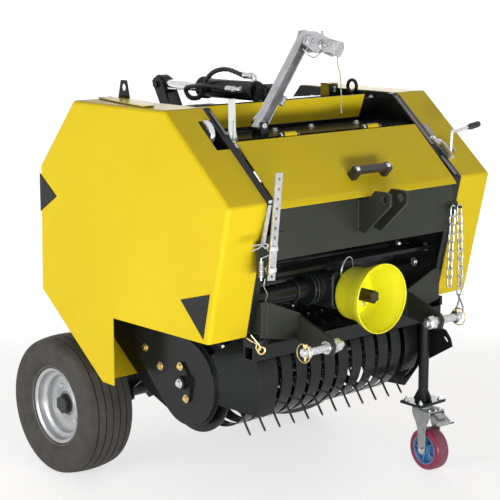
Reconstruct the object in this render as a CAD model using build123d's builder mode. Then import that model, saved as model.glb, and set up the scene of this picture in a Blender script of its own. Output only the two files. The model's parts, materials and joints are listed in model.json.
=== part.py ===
# Compact mounted round baler, parked on its two wheels and a castor jack.
# X runs across the machine, -Y faces the tractor, Z is up, and the ground is z = 0. Millimetres.
import os
from math import atan2, cos, degrees, hypot, radians, sin

from build123d import *

os.makedirs("parts", exist_ok=True)

# Side covers, seen from the side as (y, z) corners
cover_inner_x = 366.0
cover_depth = 125.0
cover_sheet = 3.0
cover_fold_r = 11.0
cover_corner_r = 12.0
top_z = 1096.0
top_front_y = -190.0
top_rear_y = 210.0
nose_y = -441.0
nose_z = 876.0
chin_y = -362.0
chin_z = 524.0
leg_front_y = 42.0
leg_rear_y = 106.0
leg_foot_z = 330.0
tail_top_y = 379.0
tail_top_z = 903.0
tail_low_y = 390.0
tail_low_z = 543.0
notch_low_y = -300.0
notch_high_y = -166.0
notch_width = 42.0

# Side plates that carry the whole machine
plate_t = 6.0
plate_inset = 1.0
shoulder_y = -258.0
lip_width = 19.0
lip_t = 4.0
belly_points = [
    (tail_low_y - 6.0, tail_low_z + 4.0),
    (109.0, 323.0),
    (45.0, 287.0),
    (-60.0, 250.0),
]

# Bale chamber: a ring of rollers shared by the frame and the tailgate
chamber_y = 10.0
chamber_z = 790.0
chamber_ring_r = 250.0
roller_r = 36.0
roller_ribs = 6
roller_rib_h = 3.0
roller_rib_w = 8.0
roller_shaft_r = 15.0
frame_roller_angles = (98.0, 134.0, 165.0, 195.0, 225.0)
gate_roller_angles = (290.0, 320.0, 350.0, 20.0, 50.0)
roller_end_gap = 2.0

# Tailgate
gate_pivot_y = 100.0
gate_pivot_z = 1010.0
gate_pin_r = 15.0
gate_plate_t = 5.0
gate_side_gap = 10.0
gate_tube = 44.0
gate_tube_y = 275.0
gate_tube_z = 1004.0
gate_low_tube_y = 296.0
gate_low_tube_z = 585.0

# Hydraulic cylinder lying on top, left of centre
ram_x = -85.0
ram_base_y = -129.0
ram_base_z = 1117.0
ram_eye_y = 330.0
ram_eye_z = 1114.0
barrel_r = 27.0
barrel_length = 273.0
rod_r = 14.0
ram_eye_r = 28.0
ram_eye_w = 30.0
ram_eye_bore_r = 18.6
ram_pin_r = 10.0
ram_base_pin_r = 10.0
lug_t = 8.0
lug_gap = 1.0

# Hood lid over the twine box
hood_half = 335.0
hood_sheet = 3.0
hood_top_y = -291.0
hood_top_z = 1014.6
hood_fold_y = -438.0
hood_fold_z = 877.0
hood_lip_y = -450.0
hood_lip_z = 862.0
hinge_pin_r = 5.0
hinge_knuckle_r = 9.0
hinge_knuckle_w = 44.0
hinge_places = (-140.0, 172.0)
hinge_y = -276.0
hinge_z = 1017.0

# Front beam and the three hitch points
beam_front_y = -432.0
beam_depth = 60.0
beam_low_z = 728.0
beam_high_z = 860.0
beam_wall = 6.0
toplink_y = -523.0
toplink_z = 861.0
toplink_hole_r = 9.75
toplink_half_gap = 27.0
toplink_plate_t = 8.0
hitch_pin_y = -502.0
hitch_pin_z = 498.0
hitch_pin_r = 11.0
hitch_pin_end_x = 302.0
arm_plate_x = 212.0
arm_t = 8.0
arm_root_x = 341.0

# Power input
pto_z = 590.0
pto_r = 17.45
pto_end_y = -462.0
guard_mouth_y = -491.0
guard_mouth_r = 95.0
guard_back_y = -372.0
guard_back_r = 68.0
guard_wall = 4.0
gearbox_half = 68.0
gearbox_rear_y = -262.0
cross_shaft_y = -267.0
cross_shaft_z = 604.0
cross_tube_r = 27.0

# Pickup
reel_y = -154.0
reel_z = 366.0
reel_tip_r = 199.0
reel_bar_r = 85.0
reel_bars = 3
tine_pitch = 53.6
tine_count = 12
tine_r = 3.0
reel_shaft_r = 20.0
reel_end_x = 384.0
band_r = 141.0
band_t = 3.0
band_w = 38.0
band_top_bar = (38.0, 495.0)
band_low_bar = (52.0, 295.0)
band_bar_size = 22.0
case_r = 118.0
case_x = 385.0
case_t = 15.0
case_far = (55.0, 486.0)
case_far_r = 62.0

# Axle and wheels
axle_y = 340.0
wheel_r = 203.0
tyre_w = 165.0
track_half = 425.0
axle_tube_r = 25.0
stub_r = 15.0
rim_bead_r = 104.0
rim_flange_r = 117.0
rim_half = 60.0

# Castor jack
post_x = 360.0
post_y = -324.0
post_r = 15.0
sleeve_r = 20.0
sleeve_low_z = 431.0
sleeve_high_z = 525.0
post_top_z = 458.0
castor_plate_z = 195.0
castor_plate_t = 8.0
castor_plate_x = 110.0
castor_plate_y = 80.0
castor_trail = 32.0
castor_turn = -6.0
castor_wheel_r = 62.5
castor_wheel_w = 46.0
castor_axle_r = 6.0
castor_tread_r = 5.0
castor_band = 18.0
castor_hub_r = 16.0
castor_recess = 12.0

# Safety chain
chain_top_z = 797.0
chain_hook_x = (324.0, 350.0)
chain_stand_off = 17.0
link_wire = 5.0
link_pitch = 25.0
link_slack = 1.7
link_end_r = 5.5
hook_r = 4.0

# Fits
run_gap = 0.05

plate_in = cover_inner_x - plate_t
gate_out = plate_in - gate_side_gap
lip_in = plate_in - lip_width

cover_outline = [
    (top_front_y, top_z),
    (nose_y, nose_z),
    (chin_y, chin_z),
    (leg_front_y, chin_z - 4.0),
    (leg_front_y, leg_foot_z),
    (leg_rear_y, leg_foot_z),
    (tail_low_y, tail_low_z),
    (tail_top_y, tail_top_z),
    (top_rear_y, top_z),
]


def side_sketch(points, x, corner=0.0):
    # a closed outline drawn as (y, z), seen from the right-hand side
    with BuildSketch(Plane.YZ.offset(x)) as sketch:
        with BuildLine():
            if corner:
                FilletPolyline(*points, radius=corner, close=True)
            else:
                Polyline(*points, close=True)
        make_face()
    return sketch.sketch


def side_piece(points, x_low, x_high, corner=0.0, mode=Mode.ADD):
    extrude(side_sketch(points, x_low, corner), amount=x_high - x_low, mode=mode)


def front_piece(points, y_low, y_high, corner=0.0, mode=Mode.ADD):
    # a closed outline drawn as (x, z), seen from the front, with its thickness along Y
    with BuildSketch(Plane.XZ.offset(-y_low)) as sketch:
        with BuildLine():
            if corner:
                FilletPolyline(*points, radius=corner, close=True)
            else:
                Polyline(*points, close=True)
        make_face()
    extrude(sketch.sketch, amount=y_low - y_high, mode=mode)


def rod_x(x_low, x_high, y, z, radius, mode=Mode.ADD):
    with BuildSketch(Plane.YZ.offset(x_low)) as sketch:
        with Locations((y, z)):
            Circle(radius)
    extrude(sketch.sketch, amount=x_high - x_low, mode=mode)


def rod_y(y_low, y_high, x, z, radius, mode=Mode.ADD):
    with BuildSketch(Plane.XZ.offset(-y_low)) as sketch:
        with Locations((x, z)):
            Circle(radius)
    extrude(sketch.sketch, amount=y_low - y_high, mode=mode)


def rod_z(z_low, z_high, x, y, radius, mode=Mode.ADD):
    with BuildSketch(Plane.XY.offset(z_low)) as sketch:
        with Locations((x, y)):
            Circle(radius)
    extrude(sketch.sketch, amount=z_high - z_low, mode=mode)


def block(x_low, x_high, y_low, y_high, z_low, z_high, mode=Mode.ADD):
    middle = ((x_low + x_high) / 2, (y_low + y_high) / 2, (z_low + z_high) / 2)
    with Locations(middle):
        Box(x_high - x_low, y_high - y_low, z_high - z_low, mode=mode)


def folded_sheet(points, thickness, x_low, x_high, side=Side.LEFT, corner=0.0):
    # a sheet folded along an open line of (y, z) points
    with BuildSketch(Plane.YZ.offset(x_low)) as sketch:
        with BuildLine():
            if corner:
                FilletPolyline(*points, radius=corner)
            else:
                Polyline(*points)
            offset(amount=thickness, side=side, kind=Kind.INTERSECTION)
        make_face()
    extrude(sketch.sketch, amount=x_high - x_low)


def spun_x(profile, y, z, arc=360.0, start=0.0):
    # a closed (x, radius) profile turned about an axis along X; start is measured from +Y upwards
    across = (0.0, cos(radians(start)), sin(radians(start)))
    plane = Plane(origin=(0, y, z), x_dir=(1, 0, 0), z_dir=Vector(1, 0, 0).cross(Vector(*across)))
    with BuildSketch(plane) as sketch:
        with BuildLine():
            Polyline(*profile, close=True)
        make_face()
    revolve(sketch.sketch, axis=Axis((0, y, z), (1, 0, 0)), revolution_arc=arc)


def crossing(a, b, c, d):
    # where the line a-b meets the line c-d
    first = (b[0] - a[0], b[1] - a[1])
    second = (d[0] - c[0], d[1] - c[1])
    across = first[0] * second[1] - first[1] * second[0]
    share = ((c[0] - a[0]) * second[1] - (c[1] - a[1]) * second[0]) / across
    return (a[0] + share * first[0], a[1] + share * first[1])


def inset(points, amount):
    # the corners of an anticlockwise outline moved inwards by one distance
    moved = []
    for a, b in zip(points, points[1:] + points[:1]):
        run = hypot(b[0] - a[0], b[1] - a[1])
        shift = (-(b[1] - a[1]) / run * amount, (b[0] - a[0]) / run * amount)
        moved.append(((a[0] + shift[0], a[1] + shift[1]), (b[0] + shift[0], b[1] + shift[1])))
    return [crossing(*moved[i - 1], *moved[i]) for i in range(len(points))]


def at_height(a, b, z):
    # the point of the line a-b at one height
    return crossing(a, b, (0.0, z), (1.0, z))


def on_ring(angle, radius, y, z):
    return (y + radius * cos(radians(angle)), z + radius * sin(radians(angle)))


def save(builder, name):
    builder.part.label = name
    export_step(builder.part, f"parts/{name}.step")


# Side plates: one each side, with a folded lip along the slope and the front
with BuildPart() as side_plates:
    with BuildSketch(Plane.YZ.offset(plate_in)) as plate_face:
        with BuildLine():
            Polyline(*cover_outline, close=True)
        make_face()
        offset(amount=-plate_inset, kind=Kind.INTERSECTION)
        with BuildLine():
            Polyline(
                (shoulder_y, 560.0),
                (shoulder_y, reel_z + 60.0),
                (reel_y, reel_z),
                *reversed(belly_points),
                (tail_low_y - 6.0, 620.0),
                close=True,
            )
        make_face()
        with Locations((reel_y, reel_z)):
            Circle(band_r + 1.0)
        with Locations((gate_pivot_y, gate_pivot_z)):
            Circle(gate_pin_r - 5.0, mode=Mode.SUBTRACT)
    extrude(amount=plate_t)
    block(plate_in - 1, cover_inner_x + 1, chin_y - 20, shoulder_y, 400.0, chin_z + 1.0, Mode.SUBTRACT)
    rod_x(plate_in - 1, cover_inner_x + 1, reel_y, reel_z, reel_shaft_r + run_gap, Mode.SUBTRACT)
    folded_sheet(
        [
            (top_front_y + 12.0, top_z - plate_inset),
            (top_front_y - 0.3, top_z - plate_inset),
            (nose_y + 1.1, nose_z - 0.3),
            (chin_y + 2.6, chin_z + 6.0),
        ],
        lip_t,
        lip_in,
        plate_in,
        Side.LEFT,
    )
    rod_x(gate_out - gate_plate_t - 4.0, cover_inner_x, gate_pivot_y, gate_pivot_z, gate_pin_r)
    mirror(about=Plane.YZ)
save(side_plates, "side_plates")

# Side covers: deep one-piece trays, open towards the machine and underneath
inner = inset(cover_outline, cover_sheet)
inner_outline = [
    inner[0],
    inner[1],
    at_height(inner[1], inner[2], chin_z - 20.0),
    (leg_front_y - 20.0, chin_z - 20.0),
    (leg_front_y - 20.0, leg_foot_z - 20.0),
    at_height(inner[5], inner[6], leg_foot_z - 20.0),
    inner[6],
    inner[7],
    inner[8],
]
with BuildPart() as side_covers:
    for outline, x_start, depth, radius_cut, mode in (
        (cover_outline, cover_inner_x, cover_depth, 0.0, Mode.ADD),
        (inner_outline, cover_inner_x - 1.0, cover_depth - cover_sheet + 1.0, cover_sheet, Mode.SUBTRACT),
    ):
        with BuildPart(mode=Mode.PRIVATE) as tray:
            side_piece(outline, x_start, x_start + depth)
            corner_folds = tray.edges().filter_by(Axis.X).filter_by(lambda e: e.center().Z > chin_z + 1.0)
            fillet(corner_folds, cover_corner_r - radius_cut)
            outer_rim = tray.faces().sort_by(Axis.X)[-1].edges().filter_by(
                lambda e: e.center().Z > chin_z + 1.0 or e.center().Y > leg_rear_y + 15.0
            )
            fillet(outer_rim, cover_fold_r - radius_cut)
        add(tray.part, mode=mode)
    mirror(about=Plane.YZ)
    # the left cover's slope is notched so that a feed disc shows
    block(
        -cover_inner_x - notch_width, -cover_inner_x + 1,
        notch_low_y, notch_high_y, nose_z + 120, top_z - 30, Mode.SUBTRACT,
    )
save(side_covers, "side_covers")

# Cross tubes between the side plates
tube_rows = [
    # y, z, size along Y, size along Z, wall
    (-364.0, 480.0, 38.0, 38.0, 4.0),
    (-105.0, 1062.0, 32.0, 32.0, 4.0),
    (36.0, 1059.0, 36.0, 38.0, 4.0),
    (128.0, 401.0, 60.0, 60.0, 5.0),
]
with BuildPart() as cross_tubes:
    for y, z, deep, tall, wall in tube_rows:
        block(-plate_in, plate_in, y - deep / 2, y + deep / 2, z - tall / 2, z + tall / 2)
        block(
            -plate_in - 1, plate_in + 1,
            y - deep / 2 + wall, y + deep / 2 - wall, z - tall / 2 + wall, z + tall / 2 - wall,
            Mode.SUBTRACT,
        )
    # hangers that hold the low front tube under the side plates
    for low, high in ((-cover_inner_x, -plate_in + 4.0), (plate_in - 4.0, cover_inner_x)):
        block(low, high, -383.0, -350.0, 499.0, chin_z + 1.0)
    # flat carrier that the gearbox bolts to
    block(-plate_in, plate_in, -345.0, -285.0, cross_shaft_z + 56.0, cross_shaft_z + 66.0)
    # lugs for the cylinder's base pin
    for side in (-1, 1):
        x_near = ram_x + side * (ram_eye_w / 2 + lug_gap)
        x_far = x_near + side * lug_t
        side_piece(
            [
                (ram_base_y - 18.0, ram_base_z + 14.0),
                (ram_base_y - 18.0, ram_base_z - 8.0),
                (-121.0, 1096.0),
                (-121.0, 1078.0),
                (-96.0, 1078.0),
                (ram_base_y + 16.0, ram_base_z + 14.0),
            ],
            min(x_near, x_far),
            max(x_near, x_far),
        )
    rod_x(
        ram_x - ram_eye_w / 2 - lug_t - 6.0, ram_x + ram_eye_w / 2 + lug_t + 6.0,
        ram_base_y, ram_base_z, ram_base_pin_r,
    )
save(cross_tubes, "cross_tubes")

# Front beam
with BuildPart() as front_beam:
    beam_rear_y = beam_front_y + beam_depth
    block(-lip_in, lip_in, beam_front_y, beam_rear_y, beam_low_z, beam_high_z)
    block(
        -lip_in - 1, lip_in + 1, beam_front_y + beam_wall, beam_rear_y - beam_wall,
        beam_low_z + beam_wall, beam_high_z - beam_wall, Mode.SUBTRACT,
    )
    # plate at its right end with a hook pin for each strand of the safety chain
    hook_plate_y = beam_front_y - 5.0
    hook_y = beam_front_y - chain_stand_off
    hook_z = chain_top_z + link_slack / 2 - hook_r - 0.3
    block(lip_in - 25.0, cover_inner_x - 8.0, hook_plate_y, beam_front_y, hook_z - 13.0, hook_z + 13.0)
    for x in chain_hook_x:
        rod_y(hook_y - 8.0, hook_plate_y, x, hook_z, hook_r)
save(front_beam, "front_beam")

# Top link clevis
with BuildPart() as toplink_clevis:
    clevis_points = [
        (beam_front_y, beam_high_z - 8.0),
        (beam_front_y, beam_low_z + 42.0),
        (beam_front_y - 22.0, beam_low_z + 36.0),
        (toplink_y - 20.0, toplink_z - 14.0),
        (toplink_y - 20.0, toplink_z + 14.0),
        (toplink_y - 8.0, toplink_z + 20.0),
        (toplink_y + 34.0, toplink_z + 20.0),
        (toplink_y + 62.0, beam_high_z - 8.0),
    ]
    side_piece(clevis_points, toplink_half_gap, toplink_half_gap + toplink_plate_t)
    rod_x(0.0, toplink_half_gap + toplink_plate_t + 1, toplink_y, toplink_z, toplink_hole_r, Mode.SUBTRACT)
    mirror(about=Plane.YZ)
save(toplink_clevis, "toplink_clevis")

# Lower hitch arms: a cross plate welded to the frame and a cheek plate turned forward
with BuildPart() as hitch_arms:
    arm_front_y = chin_y - 29.0
    front_piece(
        [
            (arm_root_x, 522.0),
            (arm_root_x, 612.0),
            (arm_root_x - 24.0, 612.0),
            (arm_plate_x - arm_t, 566.0),
            (arm_plate_x - arm_t, 494.0),
        ],
        arm_front_y,
        arm_front_y + arm_t,
    )
    side_piece(
        [
            (arm_front_y + arm_t, 494.0),
            (arm_front_y + arm_t, 566.0),
            (hitch_pin_y - 14.0, hitch_pin_z + 22.0),
            (hitch_pin_y - 24.0, hitch_pin_z + 6.0),
            (hitch_pin_y - 18.0, hitch_pin_z - 18.0),
            (hitch_pin_y + 4.0, hitch_pin_z - 24.0),
        ],
        arm_plate_x - arm_t,
        arm_plate_x,
    )
    rod_x(arm_plate_x - arm_t - 1, arm_plate_x + 1, hitch_pin_y, hitch_pin_z, hitch_pin_r + 0.1, Mode.SUBTRACT)
    # foot that carries the cross plate back to the side plate's lip
    block(arm_root_x - 20.0, arm_root_x, arm_front_y + arm_t, chin_y + 12.0, 528.0, 606.0)
    mirror(about=Plane.YZ)
save(hitch_arms, "hitch_arms")

# Lower hitch pins, each with a shoulder and a nut
with BuildPart() as hitch_pins:
    pin_in = arm_plate_x - arm_t
    rod_x(pin_in - 22.0, hitch_pin_end_x - 2.0, hitch_pin_y, hitch_pin_z, hitch_pin_r)
    rod_x(hitch_pin_end_x - 2.0, hitch_pin_end_x, hitch_pin_y, hitch_pin_z, hitch_pin_r - 2.0)
    with BuildSketch(Plane.YZ.offset(pin_in - 16.0)) as nut:
        with Locations((hitch_pin_y, hitch_pin_z)):
            RegularPolygon(18.0, 6)
    extrude(nut.sketch, amount=16.0)
    rod_x(arm_plate_x, arm_plate_x + 6.0, hitch_pin_y, hitch_pin_z, 17.0)
    mirror(about=Plane.YZ)
save(hitch_pins, "hitch_pins")

# Gearbox with its front boss and side flange
with BuildPart() as gearbox:
    block(-gearbox_half, gearbox_half, guard_back_y, gearbox_rear_y, 548.0, 652.0)
    fillet(gearbox.edges().filter_by(Axis.Y), 18.0)
    fillet(gearbox.edges().filter_by(Axis.X), 6.0)
    rod_y(guard_back_y - 10.0, guard_back_y, 0.0, pto_z, 52.0)
    rod_x(-gearbox_half - 12.0, -gearbox_half, cross_shaft_y - 36.0, cross_shaft_z, 44.0)
    block(-56.0, 56.0, -342.0, -290.0, 652.0, cross_shaft_z + 56.0)
    rod_y(guard_back_y - 11.0, guard_back_y + 30.0, 0.0, pto_z, pto_r + run_gap, Mode.SUBTRACT)
save(gearbox, "gearbox")

# Cross shaft tube to the chain side
with BuildPart() as cross_shaft_tube:
    tube_start = -gearbox_half - 12.0
    tube_y = cross_shaft_y - 36.0
    rod_x(-plate_in, tube_start, tube_y, cross_shaft_z, cross_tube_r)
    rod_x(tube_start - 12.0, tube_start, tube_y, cross_shaft_z, 42.0)
    rod_x(-plate_in, -plate_in + 10.0, tube_y, cross_shaft_z, 44.0)
save(cross_shaft_tube, "cross_shaft_tube")

# Splined input stub
with BuildPart() as pto_shaft:
    rod_y(pto_end_y, guard_back_y + 28.0, 0.0, pto_z, pto_r)
    with BuildSketch(Plane.XZ.offset(-pto_end_y)) as spline_gaps:
        with Locations((0, pto_z)):
            with PolarLocations(pto_r, 6):
                Rectangle(6.0, 8.6)
    extrude(spline_gaps.sketch, amount=-60.0, mode=Mode.SUBTRACT)
save(pto_shaft, "pto_shaft")

# Guard cone round the stub
with BuildPart() as pto_guard:
    guard_profile = [
        (guard_back_r, guard_back_y - 10.0),
        (guard_back_r + 3.0, guard_back_y - 34.0),
        (guard_mouth_r - 5.0, guard_mouth_y + 22.0),
        (guard_mouth_r, guard_mouth_y),
        (guard_mouth_r - guard_wall, guard_mouth_y),
        (guard_mouth_r - 5.0 - guard_wall, guard_mouth_y + 22.0),
        (guard_back_r + 3.0 - guard_wall, guard_back_y - 34.0),
        (guard_back_r - guard_wall, guard_back_y - 10.0 - guard_wall),
        (30.0, guard_back_y - 10.0 - guard_wall),
        (30.0, guard_back_y - 10.0),
    ]
    with BuildSketch(Plane.XY.offset(pto_z)) as cone:
        with BuildLine():
            Polyline(*guard_profile, close=True)
        make_face()
    revolve(cone.sketch, axis=Axis((0, 0, pto_z), (0, 1, 0)))
save(pto_guard, "pto_guard")

# Hood rail with the hinge pins
with BuildPart() as hood_rail:
    folded_sheet(
        [(hinge_y + 14.0, hinge_z - 60.0), (hinge_y + 14.0, hinge_z - 2.0), (hinge_y + 60.0, hinge_z - 2.0)],
        4.0, -plate_in, plate_in, Side.RIGHT,
    )
    for x in hinge_places:
        for side in (-1, 1):
            near = x + side * (hinge_knuckle_w / 2 + 0.5)
            far = near + side * 5.0
            side_piece(
                [
                    (hinge_y - 8.0, hinge_z - 8.0),
                    (hinge_y - 8.0, hinge_z + 8.0),
                    (hinge_y + 8.0, hinge_z + 8.0),
                    (hinge_y + 14.0, hinge_z - 4.0),
                    (hinge_y + 14.0, hinge_z - 20.0),
                ],
                min(near, far), max(near, far),
            )
        rod_x(x - hinge_knuckle_w / 2 - 6, x + hinge_knuckle_w / 2 + 6, hinge_y, hinge_z, hinge_pin_r)
save(hood_rail, "hood_rail")

# Hood lid
with BuildPart() as hood:
    folded_sheet(
        [(hood_top_y, hood_top_z), (hood_fold_y, hood_fold_z), (hood_lip_y, hood_lip_z)],
        hood_sheet, -hood_half, hood_half, Side.LEFT,
    )
    for x in hinge_places:
        rod_x(x - hinge_knuckle_w / 2, x + hinge_knuckle_w / 2, hinge_y, hinge_z, hinge_knuckle_r)
        block(
            x - hinge_knuckle_w / 2, x + hinge_knuckle_w / 2,
            hood_top_y - 1.0, hinge_y - 5.0, hinge_z - 8.0, hinge_z - 3.0,
        )
    for x in hinge_places:
        rod_x(x - hinge_knuckle_w, x + hinge_knuckle_w, hinge_y, hinge_z, hinge_pin_r + run_gap, Mode.SUBTRACT)
save(hood, "hood")

# Bridge handle on the hood
with BuildPart() as hood_handle:
    handle_y = hood_fold_y + 34.0
    handle_z = hood_fold_z + (handle_y - hood_fold_y) * (hood_top_z - hood_fold_z) / (hood_top_y - hood_fold_y)
    run = hypot(hood_top_y - hood_fold_y, hood_top_z - hood_fold_z)
    out = Vector(0, -(hood_top_z - hood_fold_z) / run, (hood_top_y - hood_fold_y) / run)
    handle_plane = Plane(origin=(25.0, handle_y, handle_z), x_dir=(1, 0, 0), z_dir=out)
    with BuildSketch(handle_plane.offset(0.2)) as feet:
        with Locations((-58, 0), (58, 0)):
            RectangleRounded(22.0, 26.0, 5.0)
    extrude(feet.sketch, amount=30.0)
    with BuildSketch(handle_plane.offset(18.0)) as grip:
        RectangleRounded(138.0, 18.0, 6.0)
    extrude(grip.sketch, amount=14.0)
save(hood_handle, "hood_handle")

# Cross panel behind the twine box and the tray that it stands on
with BuildPart() as twine_panel:
    front_piece(
        [
            (-plate_in, 1028.0),
            (-plate_in, 1091.0),
            (299.0, 1091.0),
            (275.0, 1028.0),
        ],
        -127.0, -123.0,
    )
save(twine_panel, "twine_panel")

with BuildPart() as twine_tray:
    tray_z = hinge_z - 2.0
    block(-plate_in, plate_in, hinge_y + 60.0, -127.0, tray_z - 4.0, tray_z)
save(twine_tray, "twine_tray")

def ribbed_roller(angle, shaft_end):
    # a roller with ribs along it, on a shaft that ends at its two plates
    y, z = on_ring(angle, chamber_ring_r, chamber_y, chamber_z)
    half = shaft_end - roller_end_gap
    with BuildSketch(Plane.YZ.offset(-half)) as ribbed:
        with Locations(Location((y, z), angle)):
            Circle(roller_r)
            with PolarLocations(roller_r, roller_ribs):
                Rectangle(2 * roller_rib_h, roller_rib_w)
    extrude(ribbed.sketch, amount=2 * half)
    rod_x(-shaft_end, shaft_end, y, z, roller_shaft_r)


# Chamber rollers in the frame
with BuildPart() as frame_rollers:
    for angle in frame_roller_angles:
        ribbed_roller(angle, plate_in)
save(frame_rollers, "frame_rollers")

# Tailgate side plates
gate_points = [
    (70.0, 990.0),
    (70.0, 1030.0),
    (92.0, 1040.0),
    (225.0, 1040.0),
    (318.0, 930.0),
    (330.0, 750.0),
    (318.0, 570.0),
    (262.0, 520.0),
    (130.0, 494.0),
    (56.0, 510.0),
    (56.0, 960.0),
]
with BuildPart() as gate_sides:
    side_piece(gate_points, gate_out - gate_plate_t, gate_out)
    rod_x(
        gate_out - gate_plate_t - 1, gate_out + 1, gate_pivot_y, gate_pivot_z,
        gate_pin_r + run_gap, Mode.SUBTRACT,
    )
    mirror(about=Plane.YZ)
save(gate_sides, "gate_sides")

with BuildPart() as gate_rollers:
    for angle in gate_roller_angles:
        ribbed_roller(angle, gate_out - gate_plate_t)
save(gate_rollers, "gate_rollers")

# Tailgate cross tubes, the upper one with the cylinder's lugs
with BuildPart() as gate_frame:
    half = gate_out - gate_plate_t
    for y, z in ((gate_tube_y, gate_tube_z), (gate_low_tube_y, gate_low_tube_z)):
        block(-half, half, y - gate_tube / 2, y + gate_tube / 2, z - gate_tube / 2, z + gate_tube / 2)
        inner = gate_tube / 2 - 4.0
        block(-half - 1, half + 1, y - inner, y + inner, z - inner, z + inner, Mode.SUBTRACT)
    for side in (-1, 1):
        near = ram_x + side * (ram_eye_w / 2 + lug_gap)
        far = near + side * lug_t
        side_piece(
            [
                (gate_tube_y - 22.0, gate_tube_z + gate_tube / 2),
                (ram_eye_y - 22.0, ram_eye_z + 12.0),
                (ram_eye_y - 10.0, ram_eye_z + 20.0),
                (ram_eye_y + 12.0, ram_eye_z + 20.0),
                (ram_eye_y + 22.0, ram_eye_z + 8.0),
                (gate_tube_y + 22.0, gate_tube_z + gate_tube / 2),
            ],
            min(near, far), max(near, far),
        )
    rod_x(
        ram_x - ram_eye_w / 2 - lug_t - 8.0, ram_x + ram_eye_w / 2 + lug_t + 8.0,
        ram_eye_y, ram_eye_z, ram_pin_r,
    )
save(gate_frame, "gate_frame")

# Cylinder: the barrel turns on its base pin, the rod slides in it
ram_angle = degrees(atan2(ram_eye_z - ram_base_z, ram_eye_y - ram_base_y))
ram_length = hypot(ram_eye_y - ram_base_y, ram_eye_z - ram_base_z)
ram_plane = Plane(
    origin=(ram_x, ram_base_y, ram_base_z),
    x_dir=(1, 0, 0),
    z_dir=(0, cos(radians(ram_angle)), sin(radians(ram_angle))),
)
with BuildPart() as cylinder_barrel:
    with BuildSketch(ram_plane.offset(38.0)) as barrel_round:
        Circle(barrel_r)
    extrude(barrel_round.sketch, amount=barrel_length - 38.0)
    rod_x(ram_x - ram_eye_w / 2, ram_x + ram_eye_w / 2, ram_base_y, ram_base_z, 23.0)
    with BuildSketch(ram_plane) as neck:
        Rectangle(ram_eye_w, 34.0)
    extrude(neck.sketch, amount=40.0)
    with BuildSketch(ram_plane.offset(barrel_length - 18.0)) as gland:
        Circle(barrel_r + 3.0)
    extrude(gland.sketch, amount=18.0)
    with BuildSketch(ram_plane.offset(60.0)) as bore:
        Circle(rod_r + run_gap)
    extrude(bore.sketch, amount=barrel_length, mode=Mode.SUBTRACT)
    rod_x(
        ram_x - ram_eye_w, ram_x + ram_eye_w, ram_base_y, ram_base_z,
        ram_base_pin_r + run_gap, Mode.SUBTRACT,
    )
save(cylinder_barrel, "cylinder_barrel")

with BuildPart() as cylinder_rod:
    with BuildSketch(ram_plane.offset(170.0 + 80.0)) as rod_round:
        Circle(rod_r)
    extrude(rod_round.sketch, amount=ram_length - 250.0 - ram_eye_r + 5.0)
    rod_x(ram_x - ram_eye_w / 2, ram_x + ram_eye_w / 2, ram_eye_y, ram_eye_z, ram_eye_r)
    rod_x(ram_x - ram_eye_w, ram_x + ram_eye_w, ram_eye_y, ram_eye_z, ram_eye_bore_r, Mode.SUBTRACT)
save(cylinder_rod, "cylinder_rod")

# Pickup bands: strips bent round the reel, with the tines passing between them
band_angle_low = -68.1
band_angle_high = 86.1
with BuildPart() as pickup_bands:
    first = -tine_pitch * (tine_count - 2) / 2
    top_y, top_bar_z = band_top_bar
    low_y, low_bar_z = band_low_bar
    for row in range(tine_count - 1):
        x = first + row * tine_pitch
        with BuildSketch(Plane.YZ.offset(x - band_w / 2)) as strip:
            with BuildLine() as path:
                start = on_ring(band_angle_high, band_r, reel_y, reel_z)
                middle = on_ring(180.0, band_r, reel_y, reel_z)
                end = on_ring(band_angle_low, band_r, reel_y, reel_z)
                Line((top_y, top_bar_z), start)
                ThreePointArc(start, middle, end)
                Line(end, (low_y, low_bar_z))
                offset(amount=band_t, side=Side.RIGHT)
            make_face()
        extrude(strip.sketch, amount=band_w)
    block(-plate_in, plate_in, top_y - 2.0, top_y + band_bar_size, top_bar_z - band_bar_size, top_bar_z)
    block(-plate_in, plate_in, low_y - 2.0, low_y + band_bar_size, low_bar_z - 2.0, low_bar_z + band_bar_size)
save(pickup_bands, "pickup_bands")

# Tine reel: shaft, three-armed spiders, tine bars and sprung tines
with BuildPart() as tine_reel:
    rod_x(-reel_end_x, reel_end_x, reel_y, reel_z, reel_shaft_r)
    bar_phase = 199.3
    for bar in range(reel_bars):
        turn = bar * 360.0 / reel_bars
        y, z = on_ring(bar_phase + turn, reel_bar_r, reel_y, reel_z)
        rod_x(-312.0, 312.0, y, z, 10.0)
        for x in (-305.0, -107.2, 107.2, 305.0):
            with BuildSketch(Plane.YZ.offset(x - 3.0)) as arm:
                with Locations(Location((reel_y, reel_z), bar_phase + turn)):
                    with Locations((reel_bar_r / 2, 0)):
                        Rectangle(reel_bar_r, 30.0)
            extrude(arm.sketch, amount=6.0)
    hub = Plane(origin=(0, reel_y, reel_z), x_dir=(0, 1, 0), z_dir=(1, 0, 0))
    for bar in range(reel_bars):
        turn = radians(bar * 360.0 / reel_bars)
        path_rows = [(-80.0, -28.0), (-122.0, -106.0), (-144.0, -136.0)]
        path_points = []
        for dy, dz in path_rows:
            path_points.append((dy * cos(turn) - dz * sin(turn), dy * sin(turn) + dz * cos(turn)))
        for tine in range(tine_count):
            x = (tine - (tine_count - 1) / 2) * tine_pitch
            with BuildLine() as wire:
                Polyline(*[(x, reel_y + dy, reel_z + dz) for dy, dz in path_points])
            start_plane = Plane(wire.line @ 0, z_dir=wire.line % 0)
            with BuildSketch(start_plane) as wire_round:
                RegularPolygon(tine_r, 6)
            sweep(wire_round.sketch, path=wire.line, transition=Transition.RIGHT)
save(tine_reel, "tine_reel")

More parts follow.
